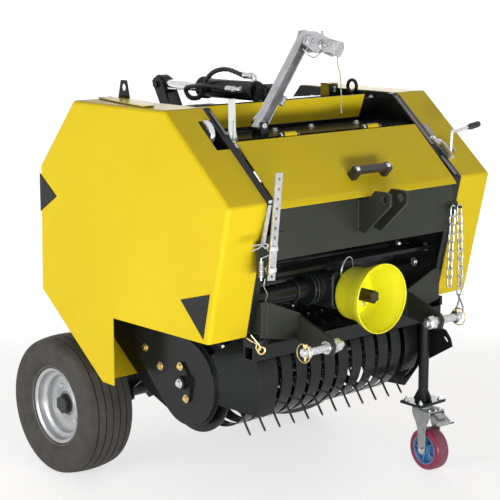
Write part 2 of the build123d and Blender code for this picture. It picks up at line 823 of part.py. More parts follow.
# Flared guard at the left end of the pickup
with BuildPart() as pickup_guard_left:
    guard_r = reel_tip_r + 6.0
    spun_x(
        [
            (-262.0, guard_r),
            (-318.0, guard_r),
            (-case_x, case_r + 1.0),
            (-case_x, case_r + 5.0),
            (-318.0, guard_r + 4.0),
            (-262.0, guard_r + 4.0),
        ],
        reel_y, reel_z, arc=64.0, start=135.0,
    )
save(pickup_guard_left, "pickup_guard_left")

# Filler at the right end of the pickup
with BuildPart() as pickup_filler_right:
    spun_x(
        [(302.0, band_r + 4.0), (plate_in, band_r + 4.0), (plate_in, band_r + 8.0), (302.0, band_r + 8.0)],
        reel_y, reel_z, arc=130.0, start=80.0,
    )
save(pickup_filler_right, "pickup_filler_right")

# Nose plate outside the right side plate, on two spacers
with BuildPart() as nose_plate:
    side_piece(
        [
            (-407.0, 375.0),
            (-400.0, 398.0),
            (-381.0, 420.0),
            (-327.0, 432.0),
            (-200.0, 470.0),
            (-20.0, 470.0),
            (0.0, 380.0),
            (-60.0, 270.0),
            (-150.0, 215.0),
            (-226.0, 220.0),
            (-284.0, 299.0),
        ],
        case_x, case_x + 5.0,
    )
    rod_x(case_x - 1, case_x + 6, reel_y, reel_z, 24.0, Mode.SUBTRACT)
    with BuildSketch(Plane.YZ.offset(case_x - 1)) as slot:
        with Locations(Location((-384.0, 393.0), 45.0)):
            SlotOverall(20.0, 8.0)
    extrude(slot.sketch, amount=8.0, mode=Mode.SUBTRACT)
    for y, z in ((-230.0, 400.0), (-60.0, 430.0)):
        rod_x(cover_inner_x, case_x, y, z, 12.0)
save(nose_plate, "nose_plate")

# Chain case on the left, tapering up and back under the cover
with BuildPart() as chain_case:
    for x_out, x_in, grow in ((case_x + 4.0, case_x, 6.0), (case_x + case_t, case_x + 4.0, 0.0)):
        with BuildSketch(Plane.YZ.offset(-x_out)) as shell_face:
            with Locations((reel_y, reel_z)):
                Circle(case_r + grow)
            with Locations(case_far):
                Circle(case_far_r + grow)
            make_hull()
        extrude(shell_face.sketch, amount=x_out - x_in)
    bearing_x = case_x + case_t
    with BuildSketch(Plane.YZ.offset(-bearing_x - 7.0)) as flange:
        with Locations((reel_y, reel_z)):
            Circle(30.0)
        with Locations((reel_y + 12.0, reel_z + 42.0), (reel_y - 12.0, reel_z - 42.0)):
            Circle(12.0)
        make_hull()
    extrude(flange.sketch, amount=7.0)
    rod_x(-bearing_x - 20.0, -bearing_x - 7.0, reel_y, reel_z, 19.0)
    for y, z in ((reel_y - 60.0, reel_z + 20.0), (case_far[0], case_far[1])):
        rod_x(-case_x, -cover_inner_x, y, z, 12.0)
save(chain_case, "chain_case")

# Axle with its brackets
with BuildPart() as axle:
    rod_x(-track_half + 95.0, track_half - 95.0, axle_y, wheel_r, axle_tube_r)
    rod_x(-track_half - 22.0, track_half + 22.0, axle_y, wheel_r, stub_r)
    bracket_points = [
        (98.0, 371.0),
        (158.0, 371.0),
        (axle_y + 34.0, wheel_r + 30.0),
        (axle_y + 34.0, wheel_r - 24.0),
        (axle_y, wheel_r - 42.0),
        (axle_y - 34.0, wheel_r - 24.0),
        (axle_y - 40.0, wheel_r + 16.0),
    ]
    for x in (138.0, 226.0):
        side_piece(bracket_points, x, x + 8.0)
        side_piece(bracket_points, -x - 8.0, -x)
save(axle, "axle")

# Wheels: ribbed tyre on a stepped rim
tyre_half = tyre_w / 2
groove_rows = [(-50.0, 7.0), (-17.0, 7.0), (17.0, 7.0), (50.0, 7.0)]
tread = []
for middle, width in groove_rows:
    tread.append((middle - width / 2, wheel_r))
    tread.append((middle - width / 2 + 1, wheel_r - 6.0))
    tread.append((middle + width / 2 - 1, wheel_r - 6.0))
    tread.append((middle + width / 2, wheel_r))
tyre_profile = [
    (-rim_half + 4.0, rim_bead_r),
    (-rim_half - 2.0, rim_flange_r + 2.0),
    (-tyre_half + 3.0, 142.0),
    (-tyre_half, 162.0),
    (-tyre_half + 3.0, 182.0),
    (-tyre_half + 14.0, 197.0),
    *tread,
    (tyre_half - 14.0, 197.0),
    (tyre_half - 3.0, 182.0),
    (tyre_half, 162.0),
    (tyre_half - 3.0, 142.0),
    (rim_half + 2.0, rim_flange_r + 2.0),
    (rim_half - 4.0, rim_bead_r),
]
rim_profile = [
    (-rim_half + 4.2, rim_bead_r - 0.3),
    (-rim_half + 1.0, rim_flange_r),
    (-rim_half - 1.5, rim_flange_r),
    (-rim_half + 1.0, rim_bead_r - 4.0),
    (-20.0, 88.0),
    (10.0, 84.0),
    (14.0, 40.0),
    (-26.0, 34.0),
    (-80.0, 34.0),
    (-80.0, stub_r + run_gap),
    (24.0, stub_r + run_gap),
    (24.0, 34.0),
    (20.0, 40.0),
    (16.0, 84.0),
    (24.0, 92.0),
    (rim_half - 1.0, rim_bead_r - 4.0),
    (rim_half + 1.5, rim_flange_r),
    (rim_half - 1.0, rim_flange_r),
    (rim_half - 4.2, rim_bead_r - 0.3),
]
for name, side in (("left", -1), ("right", 1)):
    with BuildPart() as rim:
        spun_x([(side * (track_half + x), r) for x, r in rim_profile], axle_y, wheel_r)
        cap_x = side * (track_half + 24.0)
        with BuildSketch(Plane.YZ.offset(min(cap_x, cap_x + side * 18.0))) as cap:
            with Locations((axle_y, wheel_r)):
                RegularPolygon(28.0, 6)
        extrude(cap.sketch, amount=18.0)
    save(rim, f"rim_{name}")
    with BuildPart() as tyre:
        spun_x([(side * (track_half + x), r) for x, r in tyre_profile], axle_y, wheel_r)
        add(rim.part, mode=Mode.SUBTRACT)
    save(tyre, f"tyre_{name}")

# Jack: sleeve on the frame, leg that slides in it
with BuildPart() as jack_sleeve:
    rod_z(sleeve_low_z, sleeve_high_z, post_x, post_y, sleeve_r)
    rod_z(sleeve_high_z - 5.0, sleeve_high_z, post_x, post_y, sleeve_r + 5.0)
    block(plate_in - 6.0, plate_in, post_y, shoulder_y + 14.0, 492.0, sleeve_high_z - 3.0)
    rod_z(sleeve_low_z - 1, sleeve_high_z - 4, post_x, post_y, post_r + run_gap, Mode.SUBTRACT)
save(jack_sleeve, "jack_sleeve")

with BuildPart() as jack_leg:
    plate_top = castor_plate_z + castor_plate_t
    rod_z(plate_top, post_top_z, post_x, post_y, post_r)
    block(
        post_x - castor_plate_x / 2, post_x + castor_plate_x / 2,
        post_y - castor_plate_y / 2, post_y + castor_plate_y / 2, castor_plate_z, plate_top,
    )
    for turn in (0, 90):
        with BuildSketch(Plane(origin=(post_x, post_y, plate_top), x_dir=(cos(radians(turn)), sin(radians(turn)), 0),
                               z_dir=(sin(radians(turn)), -cos(radians(turn)), 0))) as gusset:
            with BuildLine():
                Polyline((-34, 0), (34, 0), (14, 36), (-14, 36), close=True)
            make_face()
        extrude(gusset.sketch, amount=3.0, both=True)
save(jack_leg, "jack_leg")

# Castor: pressed fork and wheel, swivelled a little off straight ahead
castor = Plane(origin=(post_x, post_y, 0), x_dir=(cos(radians(castor_turn)), sin(radians(castor_turn)), 0), z_dir=(0, 0, 1))
castor_axis = Plane(
    origin=castor.from_local_coords((0, -castor_trail, castor_wheel_r)),
    x_dir=(0, 0, 1),
    z_dir=castor.x_dir,
)
fork_gap = castor_wheel_w / 2 + 4.0
cheek_t = 3.0
cheek_back = -14.0
cheek_front = 58.0
with BuildPart() as castor_fork:
    with BuildSketch(castor.offset(castor_plate_z - 12.0)) as crown:
        Circle(30.0)
    extrude(crown.sketch, amount=11.7)
    with BuildSketch(castor.offset(castor_plate_z - 18.0)) as yoke:
        with Locations((0, -(cheek_back + cheek_front) / 2)):
            Rectangle(2 * (fork_gap + cheek_t), cheek_front - cheek_back)
    extrude(yoke.sketch, amount=6.0)
    for side in (-1, 1):
        x_leg = side * (fork_gap + cheek_t)
        cheek = Plane(
            origin=castor.from_local_coords((x_leg, 0, 0)),
            x_dir=castor.from_local_coords((0, -1, 0)) - castor.from_local_coords((0, 0, 0)),
            z_dir=castor.from_local_coords((side, 0, 0)) - castor.from_local_coords((0, 0, 0)),
        )
        with BuildSketch(cheek) as leg:
            with BuildLine():
                flip = -side
                Polyline(
                    (cheek_back, flip * (castor_plate_z - 12.0)),
                    (cheek_front, flip * (castor_plate_z - 12.0)),
                    (castor_trail + 14.0, flip * (castor_wheel_r - 12.0)),
                    (castor_trail - 14.0, flip * (castor_wheel_r - 12.0)),
                    close=True,
                )
            make_face()
        extrude(leg.sketch, amount=-cheek_t)
    # axle bolt through the wheel, with a head outside each cheek
    cheek_out = fork_gap + cheek_t
    head_out = cheek_out + 4.0
    for low, high, radius in (
        (-head_out, head_out, castor_axle_r),
        (-head_out, -cheek_out, castor_axle_r + 4.0),
        (cheek_out, head_out, castor_axle_r + 4.0),
    ):
        with BuildSketch(castor_axis.offset(low)) as bolt_round:
            Circle(radius)
        extrude(bolt_round.sketch, amount=high - low)
save(castor_fork, "castor_fork")

with BuildPart() as castor_wheel:
    half = castor_wheel_w / 2
    with BuildSketch(castor_axis.offset(-half)) as disc:
        Circle(castor_wheel_r)
    extrude(disc.sketch, amount=castor_wheel_w)
    fillet(castor_wheel.edges(), castor_tread_r)
    # recess on each face between the tread's band and the hub
    for start in (-half, half - castor_recess):
        with BuildSketch(castor_axis.offset(start)) as recess:
            Circle(castor_wheel_r - castor_band)
            Circle(castor_hub_r, mode=Mode.SUBTRACT)
        extrude(recess.sketch, amount=castor_recess, mode=Mode.SUBTRACT)
    with BuildSketch(castor_axis.offset(-half)) as bore:
        Circle(castor_axle_r + run_gap)
    extrude(bore.sketch, amount=castor_wheel_w, mode=Mode.SUBTRACT)
save(castor_wheel, "castor_wheel")

# Twine arm that swings across the machine on a bracket
swing_x = -203.0
swing_y = -232.0
swing_z = 1043.0
swing_pin_r = 6.0
arm_half = 12.0
arm_width = 29.0
arm_sheet = 3.0
arm_reach_x = 160.0
arm_reach_z = 223.0
arm_lean = atan2(arm_reach_z, arm_reach_x)
arm_length = hypot(arm_reach_x, arm_reach_z)
swing_plane = Plane(
    origin=(swing_x, swing_y, swing_z),
    x_dir=(cos(arm_lean), 0, sin(arm_lean)),
    z_dir=(0, -1, 0),
)
with BuildPart() as twine_post:
    rod_y(swing_y - 19.0, swing_y + 19.0, swing_x, swing_z, swing_pin_r)
    for y in (swing_y - 19.0, swing_y + 14.0):
        block(swing_x - 13.0, swing_x + 13.0, y, y + 5.0, tray_z, swing_z + 10.0)
save(twine_post, "twine_post")

with BuildPart() as twine_arm:
    with BuildSketch(swing_plane.offset(-arm_half)) as channel:
        with Locations((arm_length / 2, 0)):
            Rectangle(arm_length + 28.0, arm_width)
    extrude(channel.sketch, amount=2 * arm_half)
    with BuildSketch(swing_plane.offset(-arm_half + arm_sheet)) as inside:
        with Locations((arm_length / 2 + 10.0, 0)):
            Rectangle(arm_length + 28.0, arm_width - 2 * arm_sheet)
    extrude(inside.sketch, amount=3 * arm_half, mode=Mode.SUBTRACT)
    rod_y(swing_y - arm_half, swing_y + arm_half, swing_x, swing_z, 11.0)
    rod_y(swing_y - 20.0, swing_y + 20.0, swing_x, swing_z, swing_pin_r + run_gap, Mode.SUBTRACT)
save(twine_arm, "twine_arm")

# Twine guide at the arm's tip: two side plates, an end web and its clamping discs
guide_points = [
    (-66.0, 1252.0),
    (-52.0, 1284.0),
    (-16.0, 1282.0),
    (34.0, 1262.0),
    (88.0, 1250.0),
    (92.0, 1234.0),
    (76.0, 1210.0),
    (62.0, 1214.0),
    (30.0, 1226.0),
    (-16.0, 1224.0),
]
guide_sheet = 3.0
web_x = 66.0
twine_x = 80.0
twine_y = swing_y
exit_z = 1226.0
with BuildPart() as twine_guide:
    for y in (swing_y - arm_half - guide_sheet, swing_y + arm_half):
        front_piece(guide_points, y, y + guide_sheet)
    block(web_x, web_x + guide_sheet, swing_y - arm_half, swing_y + arm_half, 1216.0, 1250.0)
    block(
        web_x + guide_sheet, twine_x + 8.0, swing_y - arm_half, swing_y + arm_half, exit_z, exit_z + 3.0,
    )
    for x, z, radius in ((-34.0, 1258.0, 15.0), (10.0, 1246.0, 12.0)):
        rod_y(swing_y - arm_half - guide_sheet - 8.0, swing_y - arm_half - guide_sheet, x, z, radius)
    rod_y(swing_y - arm_half, swing_y + arm_half, 10.0, 1246.0, 8.0)
save(twine_guide, "twine_guide")

# Loose end of twine hanging from the guide, ending in a knot
twine_r = 1.7
knot_r = 4.0
twine_route = [
    # x, y, z
    (twine_x, twine_y, exit_z),
    (twine_x, twine_y, 1205.0),
    (82.0, twine_y - 1.0, 1184.0),
    (93.0, twine_y - 1.0, 1158.0),
    (94.0, twine_y, 1128.0),
    (99.0, twine_y + 1.0, 1100.0),
    (96.0, twine_y, 1078.0),
    (98.0, twine_y, 1058.0),
]
with BuildPart() as twine:
    with BuildLine() as twine_line:
        FilletPolyline(*twine_route, radius=7.0)
    with BuildSketch(Plane(twine_line.line @ 0, z_dir=twine_line.line % 0)) as twine_round:
        RegularPolygon(twine_r, 8)
    sweep(twine_round.sketch, path=twine_line.line)
    with Locations(twine_line.line @ 1):
        Sphere(knot_r)
save(twine, "twine")

# Left-hand hole bar, held off the beam's ear on two pins
with BuildPart() as hole_bar:
    ear_y = beam_front_y - 3.0
    front_piece([(-392.0, 692.0), (-lip_in, 700.0), (-lip_in, 800.0), (-392.0, 780.0)], ear_y, ear_y + 6.0)
    block(-lip_in, -lip_in + 40.0, ear_y, beam_front_y, beam_low_z, 800.0)
    bar_y = -471.0
    bar_low = (-378.0, 690.0)
    bar_high = (-352.0, 955.0)
    front_piece(
        [
            (bar_low[0] - 11.0, bar_low[1]),
            (bar_low[0] + 11.0, bar_low[1]),
            (bar_high[0] + 11.0, bar_high[1]),
            (bar_high[0] - 11.0, bar_high[1]),
        ],
        bar_y, bar_y + 5.0,
    )
    for share in (0.10, 0.30):
        x = bar_low[0] + (bar_high[0] - bar_low[0]) * share
        z = bar_low[1] + (bar_high[1] - bar_low[1]) * share
        rod_y(bar_y - 5.0, ear_y, x, z, 6.0)
    for step in range(7):
        share = 0.40 + 0.09 * step
        x = bar_low[0] + (bar_high[0] - bar_low[0]) * share
        z = bar_low[1] + (bar_high[1] - bar_low[1]) * share
        rod_y(bar_y - 1.0, bar_y + 6.0, x, z, 4.0, Mode.SUBTRACT)
save(hole_bar, "hole_bar")

# Lifting eyes on the side plates' top edges: a flat one on the left, a ring on the right
with BuildPart() as lifting_eyes:
    side_piece(
        [(130.0, 1048.0), (178.0, 1048.0), (178.0, 1100.0), (166.0, 1148.0), (142.0, 1148.0), (130.0, 1100.0)],
        -plate_in, -plate_in + 5.0,
    )
    rod_x(-plate_in - 1, -plate_in + 6, 154.0, 1128.0, 10.0, Mode.SUBTRACT)
    block(plate_in - 12.0, plate_in, -33.0, -17.0, 1078.0, 1100.0)
    ring_plane = Plane(origin=(plate_in - 6.0, -25.0, 1114.0), x_dir=(0, 1, 0), z_dir=(1, 0, 0))
    with Locations(ring_plane):
        Torus(14.0, 4.0)
save(lifting_eyes, "lifting_eyes")

# Crank lever standing on the right cover's slope
crank_x = 378.0
crank_y = -382.0
with BuildPart() as crank_lever:
    slope_run = hypot(top_front_y - nose_y, top_z - nose_z)
    slope_out = Vector(0, -(top_z - nose_z) / slope_run, (top_front_y - nose_y) / slope_run)
    foot_z = nose_z + (crank_y - nose_y) * (top_z - nose_z) / (top_front_y - nose_y)
    foot = Plane(origin=(crank_x, crank_y, foot_z), x_dir=(1, 0, 0), z_dir=slope_out)
    with BuildSketch(foot) as foot_round:
        Circle(11.0)
    extrude(foot_round.sketch, amount=12.0)
    with BuildLine() as crank_path:
        FilletPolyline(
            (crank_x, crank_y - 6.0, foot_z + 7.0),
            (crank_x - 4.0, crank_y - 12.0, foot_z + 62.0),
            (crank_x + 26.0, crank_y - 14.0, foot_z + 67.0),
            (crank_x + 62.0, crank_y - 18.0, foot_z + 76.0),
            radius=8.0,
        )
    with BuildSketch(Plane(crank_path.line @ 0, z_dir=crank_path.line % 0)) as crank_round:
        Circle(5.0)
    sweep(crank_round.sketch, path=crank_path.line)
    with BuildSketch(Plane(crank_path.line @ 1, z_dir=crank_path.line % 1)) as grip_round:
        Circle(9.0)
    extrude(grip_round.sketch, amount=40.0)
save(crank_lever, "crank_lever")

# Feed disc seen through the notch in the left cover
with BuildPart() as feed_disc:
    disc_x = -cover_inner_x - 26.0
    disc_y = -221.0
    disc_z = 1032.0
    spun_x(
        [
            (disc_x, 6.0),
            (disc_x, 29.0),
            (disc_x + 4.0, 33.0),
            (disc_x + 14.0, 33.0),
            (disc_x + 18.0, 29.0),
            (disc_x + 18.0, 10.0),
            (-cover_inner_x, 10.0),
            (-cover_inner_x, 0.0),
            (disc_x + 4.0, 0.0),
            (disc_x + 4.0, 6.0),
        ],
        disc_y, disc_z,
    )
save(feed_disc, "feed_disc")

# Level indicator in front of the hood rail
with BuildPart() as level_indicator:
    front_piece(
        [(-286.0, 980.0), (-312.0, 980.0), (-339.0, 1121.0), (-317.0, 1121.0)],
        hinge_y + 11.0, hinge_y + 14.0,
    )
save(level_indicator, "level_indicator")

# Hydraulic hose from the top port, over the barrel and back to the side port
hose_r = 7.5
port_z = ram_base_z + 41.0
side_port_x = ram_x - 39.0
side_port_z = ram_base_z + 4.0
hose_route = [
    # x, y, z
    (ram_x, -70.0, port_z),
    (ram_x, -30.0, port_z),
    (ram_x - 3.0, 38.0, port_z + 16.0),
    (ram_x - 22.0, 84.0, port_z),
    (ram_x - 38.0, 100.0, ram_base_z + 7.0),
    (ram_x - 38.0, 106.0, ram_base_z - 29.0),
    (ram_x - 52.0, 150.0, ram_base_z - 31.0),
    (ram_x - 59.0, 152.0, ram_base_z + 7.0),
    (ram_x - 57.0, 70.0, ram_base_z + 9.0),
    (side_port_x, 14.0, side_port_z),
    (side_port_x, -40.0, side_port_z),
]
with BuildPart() as hydraulic_hose:
    with BuildLine() as hose_line:
        FilletPolyline(*hose_route, radius=16.0)
    with BuildSketch(Plane(hose_line.line @ 0, z_dir=hose_line.line % 0)) as hose_round:
        Circle(hose_r)
    sweep(hose_round.sketch, path=hose_line.line)
    rod_y(-84.0, -70.0, ram_x, port_z, 8.5)
    rod_z(ram_base_z + barrel_r, port_z, ram_x, -76.0, 8.0)
    rod_y(-56.0, -40.0, side_port_x, side_port_z, 8.5)
    rod_x(side_port_x, ram_x - barrel_r + 1.0, -48.0, side_port_z, 8.0)
    add(cylinder_barrel.part, mode=Mode.SUBTRACT)
save(hydraulic_hose, "hydraulic_hose")

# Safety chain hooked on the beam, one strand down to the right hitch pin
chain_strands = [
    # hook x, then the (x, y, z) stations that the strand passes
    [(chain_hook_x[0], hook_y, chain_top_z), (320.0, hook_y, 690.0), (316.0, hook_y, 560.0)],
    [
        (chain_hook_x[1], hook_y, chain_top_z),
        (352.0, -455.0, 686.0),
        (340.0, -468.0, 604.0),
        (319.0, -484.0, 545.0),
    ],
]
link_span = link_pitch + link_slack - 2 * link_end_r


def along(stations, distance):
    # the point at one distance down a strand
    for a, b in zip(stations, stations[1:]):
        a, b = Vector(*a), Vector(*b)
        span = (b - a).length
        if distance <= span:
            return a + (b - a) * (distance / span)
        distance -= span
    return None


with BuildPart() as safety_chain:
    for stations in chain_strands:
        step = 0
        while along(stations, (step + 1) * link_pitch):
            top = along(stations, step * link_pitch)
            low = along(stations, (step + 1) * link_pitch)
            down = (low - top).normalized()
            face = Vector(0, -1, 0) if step % 2 == 0 else Vector(1, 0, 0)
            face = (face - down * face.dot(down)).normalized()
            middle = top + down * (link_pitch / 2)
            with BuildSketch(Plane(origin=middle, x_dir=down, z_dir=face).offset(-link_wire / 2)) as link:
                SlotCenterToCenter(link_span, 2 * (link_end_r + link_wire))
                SlotCenterToCenter(link_span, 2 * link_end_r, mode=Mode.SUBTRACT)
            extrude(link.sketch, amount=link_wire)
            step += 1
save(safety_chain, "safety_chain")
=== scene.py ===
import json
import math
import random

import bmesh
import bpy
from mathutils import Matrix, Vector


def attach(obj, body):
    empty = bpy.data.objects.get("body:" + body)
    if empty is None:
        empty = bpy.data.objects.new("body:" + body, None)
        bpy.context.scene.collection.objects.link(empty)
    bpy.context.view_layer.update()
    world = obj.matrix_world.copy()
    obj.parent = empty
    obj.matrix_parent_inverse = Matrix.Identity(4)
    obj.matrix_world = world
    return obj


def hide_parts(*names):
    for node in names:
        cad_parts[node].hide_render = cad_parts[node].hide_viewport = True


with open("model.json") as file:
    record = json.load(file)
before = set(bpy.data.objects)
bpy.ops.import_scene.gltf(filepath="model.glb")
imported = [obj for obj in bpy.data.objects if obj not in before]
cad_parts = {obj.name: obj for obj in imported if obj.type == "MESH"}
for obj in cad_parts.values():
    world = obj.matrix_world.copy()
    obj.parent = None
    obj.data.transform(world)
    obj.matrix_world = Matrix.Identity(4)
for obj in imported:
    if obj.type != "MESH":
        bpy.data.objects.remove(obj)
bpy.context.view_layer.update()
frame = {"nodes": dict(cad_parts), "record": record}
nodes = frame["nodes"]
print("frame loaded:", len(nodes), "nodes")

# Camera, light and floor

cameraLook = {
    "place": (-2.673032, -2.987024, 1.425734),
    "back": (-0.6502, -0.7357, 0.1899),
    "right": (0.7493, -0.6622, 0.0),
    "lens": 101.81,
    "sensor": 36.0,
}

lightLook = {
    "fill": 0.20,
    "backdrop": 1.0,
    "lamps": [
        # name, place, aim, width, height, level that it gives a facing surface
        ("leftPanel", (-3.6, 0.1, 0.62), (0.0, 0.0, 0.62), 2.2, 1.1, 0.50),
        ("frontPanel", (-0.8, -2.9, 0.28), (0.0, 0.0, 0.55), 2.6, 0.45, 0.64),
        ("rearPanel", (3.0, 3.0, 1.3), (0.0, 0.0, 0.5), 2.2, 1.6, 0.20),
    ],
}

floorLook = {"half": 150.0, "shade": 0.86, "glow": 0.62, "nearEdge": 1.5, "farEdge": 3.6}


def makeCamera(look):
    data = bpy.data.cameras.new("camera")
    data.lens = look["lens"]
    data.sensor_width = look["sensor"]
    data.clip_end = 400.0
    camera = bpy.data.objects.new("camera", data)
    bpy.context.scene.collection.objects.link(camera)
    back = Vector(look["back"]).normalized()
    right = Vector(look["right"]).normalized()
    up = back.cross(right)
    turn = Matrix((right, up, back)).transposed()
    camera.matrix_world = Matrix.Translation(look["place"]) @ turn.to_4x4()
    bpy.context.scene.camera = camera


def rayMask(tree):
    # 1 for what the camera, a reflection or a glass surface sees
    rays = tree.nodes.new("ShaderNodeLightPath")
    first = tree.nodes.new("ShaderNodeMath")
    first.operation = "MAXIMUM"
    tree.links.new(rays.outputs["Is Camera Ray"], first.inputs[0])
    tree.links.new(rays.outputs["Is Glossy Ray"], first.inputs[1])
    second = tree.nodes.new("ShaderNodeMath")
    second.operation = "MAXIMUM"
    tree.links.new(first.outputs[0], second.inputs[0])
    tree.links.new(rays.outputs["Is Transmission Ray"], second.inputs[1])
    return second.outputs[0]


def makeLight(look):
    world = bpy.data.worlds.new("studio")
    world.use_nodes = True
    bpy.context.scene.world = world
    tree = world.node_tree
    fill = tree.nodes["Background"]
    fill.inputs["Color"].default_value = (1.0, 1.0, 1.0, 1.0)
    fill.inputs["Strength"].default_value = look["fill"]
    backdrop = tree.nodes.new("ShaderNodeBackground")
    backdrop.inputs["Color"].default_value = (1.0, 1.0, 1.0, 1.0)
    backdrop.inputs["Strength"].default_value = look["backdrop"]
    mix = tree.nodes.new("ShaderNodeMixShader")
    tree.links.new(rayMask(tree), mix.inputs[0])
    tree.links.new(fill.outputs[0], mix.inputs[1])
    tree.links.new(backdrop.outputs[0], mix.inputs[2])
    tree.links.new(mix.outputs[0], tree.nodes["World Output"].inputs["Surface"])
    for name, place, aim, width, height, level in look["lamps"]:
        reach = Vector(aim) - Vector(place)
        data = bpy.data.lights.new(name, "AREA")
        data.shape = "RECTANGLE"
        data.size = width
        data.size_y = height
        data.energy = level * math.pi ** 2 * reach.length_squared
        lamp = bpy.data.objects.new(name, data)
        lamp.location = place
        lamp.rotation_euler = reach.to_track_quat("-Z", "Y").to_euler()
        lamp.visible_camera = False
        bpy.context.scene.collection.objects.link(lamp)


def makeFloor(look):
    half = look["half"]
    mesh = bpy.data.meshes.new("floor")
    corners = [(-half, -half, 0.0), (half, -half, 0.0), (half, half, 0.0), (-half, half, 0.0)]
    mesh.from_pydata(corners, [], [(0, 1, 2, 3)])
    floor = bpy.data.objects.new("floor", mesh)
    bpy.context.scene.collection.objects.link(floor)
    material = bpy.data.materials.new("floorPale")
    material.use_nodes = True
    tree = material.node_tree
    tree.nodes.remove(tree.nodes["Principled BSDF"])
    matt = tree.nodes.new("ShaderNodeBsdfDiffuse")
    matt.inputs["Color"].default_value = (look["shade"], look["shade"], look["shade"], 1.0)
    glow = tree.nodes.new("ShaderNodeEmission")
    coords = tree.nodes.new("ShaderNodeTexCoord")
    reach = tree.nodes.new("ShaderNodeVectorMath")
    reach.operation = "LENGTH"
    tree.links.new(coords.outputs["Object"], reach.inputs[0])
    fade = tree.nodes.new("ShaderNodeMapRange")
    fade.inputs["From Min"].default_value = look["nearEdge"]
    fade.inputs["From Max"].default_value = look["farEdge"]
    fade.inputs["To Min"].default_value = look["glow"]
    fade.inputs["To Max"].default_value = 1.0
    tree.links.new(reach.outputs["Value"], fade.inputs["Value"])
    strength = tree.nodes.new("ShaderNodeMath")
    strength.operation = "MULTIPLY"
    tree.links.new(fade.outputs["Result"], strength.inputs[0])
    tree.links.new(rayMask(tree), strength.inputs[1])
    tree.links.new(strength.outputs[0], glow.inputs["Strength"])
    both = tree.nodes.new("ShaderNodeAddShader")
    tree.links.new(matt.outputs[0], both.inputs[0])
    tree.links.new(glow.outputs[0], both.inputs[1])
    tree.links.new(both.outputs[0], tree.nodes["Material Output"].inputs["Surface"])
    mesh.materials.append(material)


makeCamera(cameraLook)
makeLight(lightLook)
makeFloor(floorLook)
bpy.context.scene.view_settings.view_transform = "Standard"
print("camera, light and floor made")

# Finishes


def noiseNode(tree, scale, detail=4.0, rough=0.55, stretch=(1.0, 1.0, 1.0)):
    coords = tree.nodes.new("ShaderNodeTexCoord")
    mapping = tree.nodes.new("ShaderNodeMapping")
    mapping.inputs["Scale"].default_value = stretch
    noise = tree.nodes.new("ShaderNodeTexNoise")
    noise.inputs["Scale"].default_value = scale
    noise.inputs["Detail"].default_value = detail
    noise.inputs["Roughness"].default_value = rough
    tree.links.new(coords.outputs["Object"], mapping.inputs["Vector"])
    tree.links.new(mapping.outputs["Vector"], noise.inputs["Vector"])
    return noise.outputs["Fac"]


def spangleNode(tree, scale):
    # the small crystals of a zinc coat, each a slightly different grey
    coords = tree.nodes.new("ShaderNodeTexCoord")
    cells = tree.nodes.new("ShaderNodeTexVoronoi")
    cells.inputs["Scale"].default_value = scale
    tree.links.new(coords.outputs["Object"], cells.inputs["Vector"])
    return cells.outputs["Color"]


def rampNode(tree, source, dark, light):
    ramp = tree.nodes.new("ShaderNodeValToRGB")
    low, high = ramp.color_ramp.elements
    low.position, low.color = 0.28, (*dark, 1.0)
    high.position, high.color = 0.72, (*light, 1.0)
    tree.links.new(source, ramp.inputs["Fac"])
    return ramp.outputs["Color"]


def rangeNode(tree, source, low, high, fromLow=0.3, fromHigh=0.7):
    change = tree.nodes.new("ShaderNodeMapRange")
    change.inputs["From Min"].default_value = fromLow
    change.inputs["From Max"].default_value = fromHigh
    change.inputs["To Min"].default_value = low
    change.inputs["To Max"].default_value = high
    tree.links.new(source, change.inputs["Value"])
    return change.outputs["Result"]


def mixColour(tree, factor, below, above):
    mix = tree.nodes.new("ShaderNodeMix")
    mix.data_type = "RGBA"
    tree.links.new(factor, mix.inputs[0])
    tree.links.new(below, mix.inputs[6])
    mix.inputs[7].default_value = (*above, 1.0)
    return mix.outputs[2]


def multiply(tree, first, second):
    product = tree.nodes.new("ShaderNodeMath")
    product.operation = "MULTIPLY"
    tree.links.new(first, product.inputs[0])
    tree.links.new(second, product.inputs[1])
    return product.outputs[0]


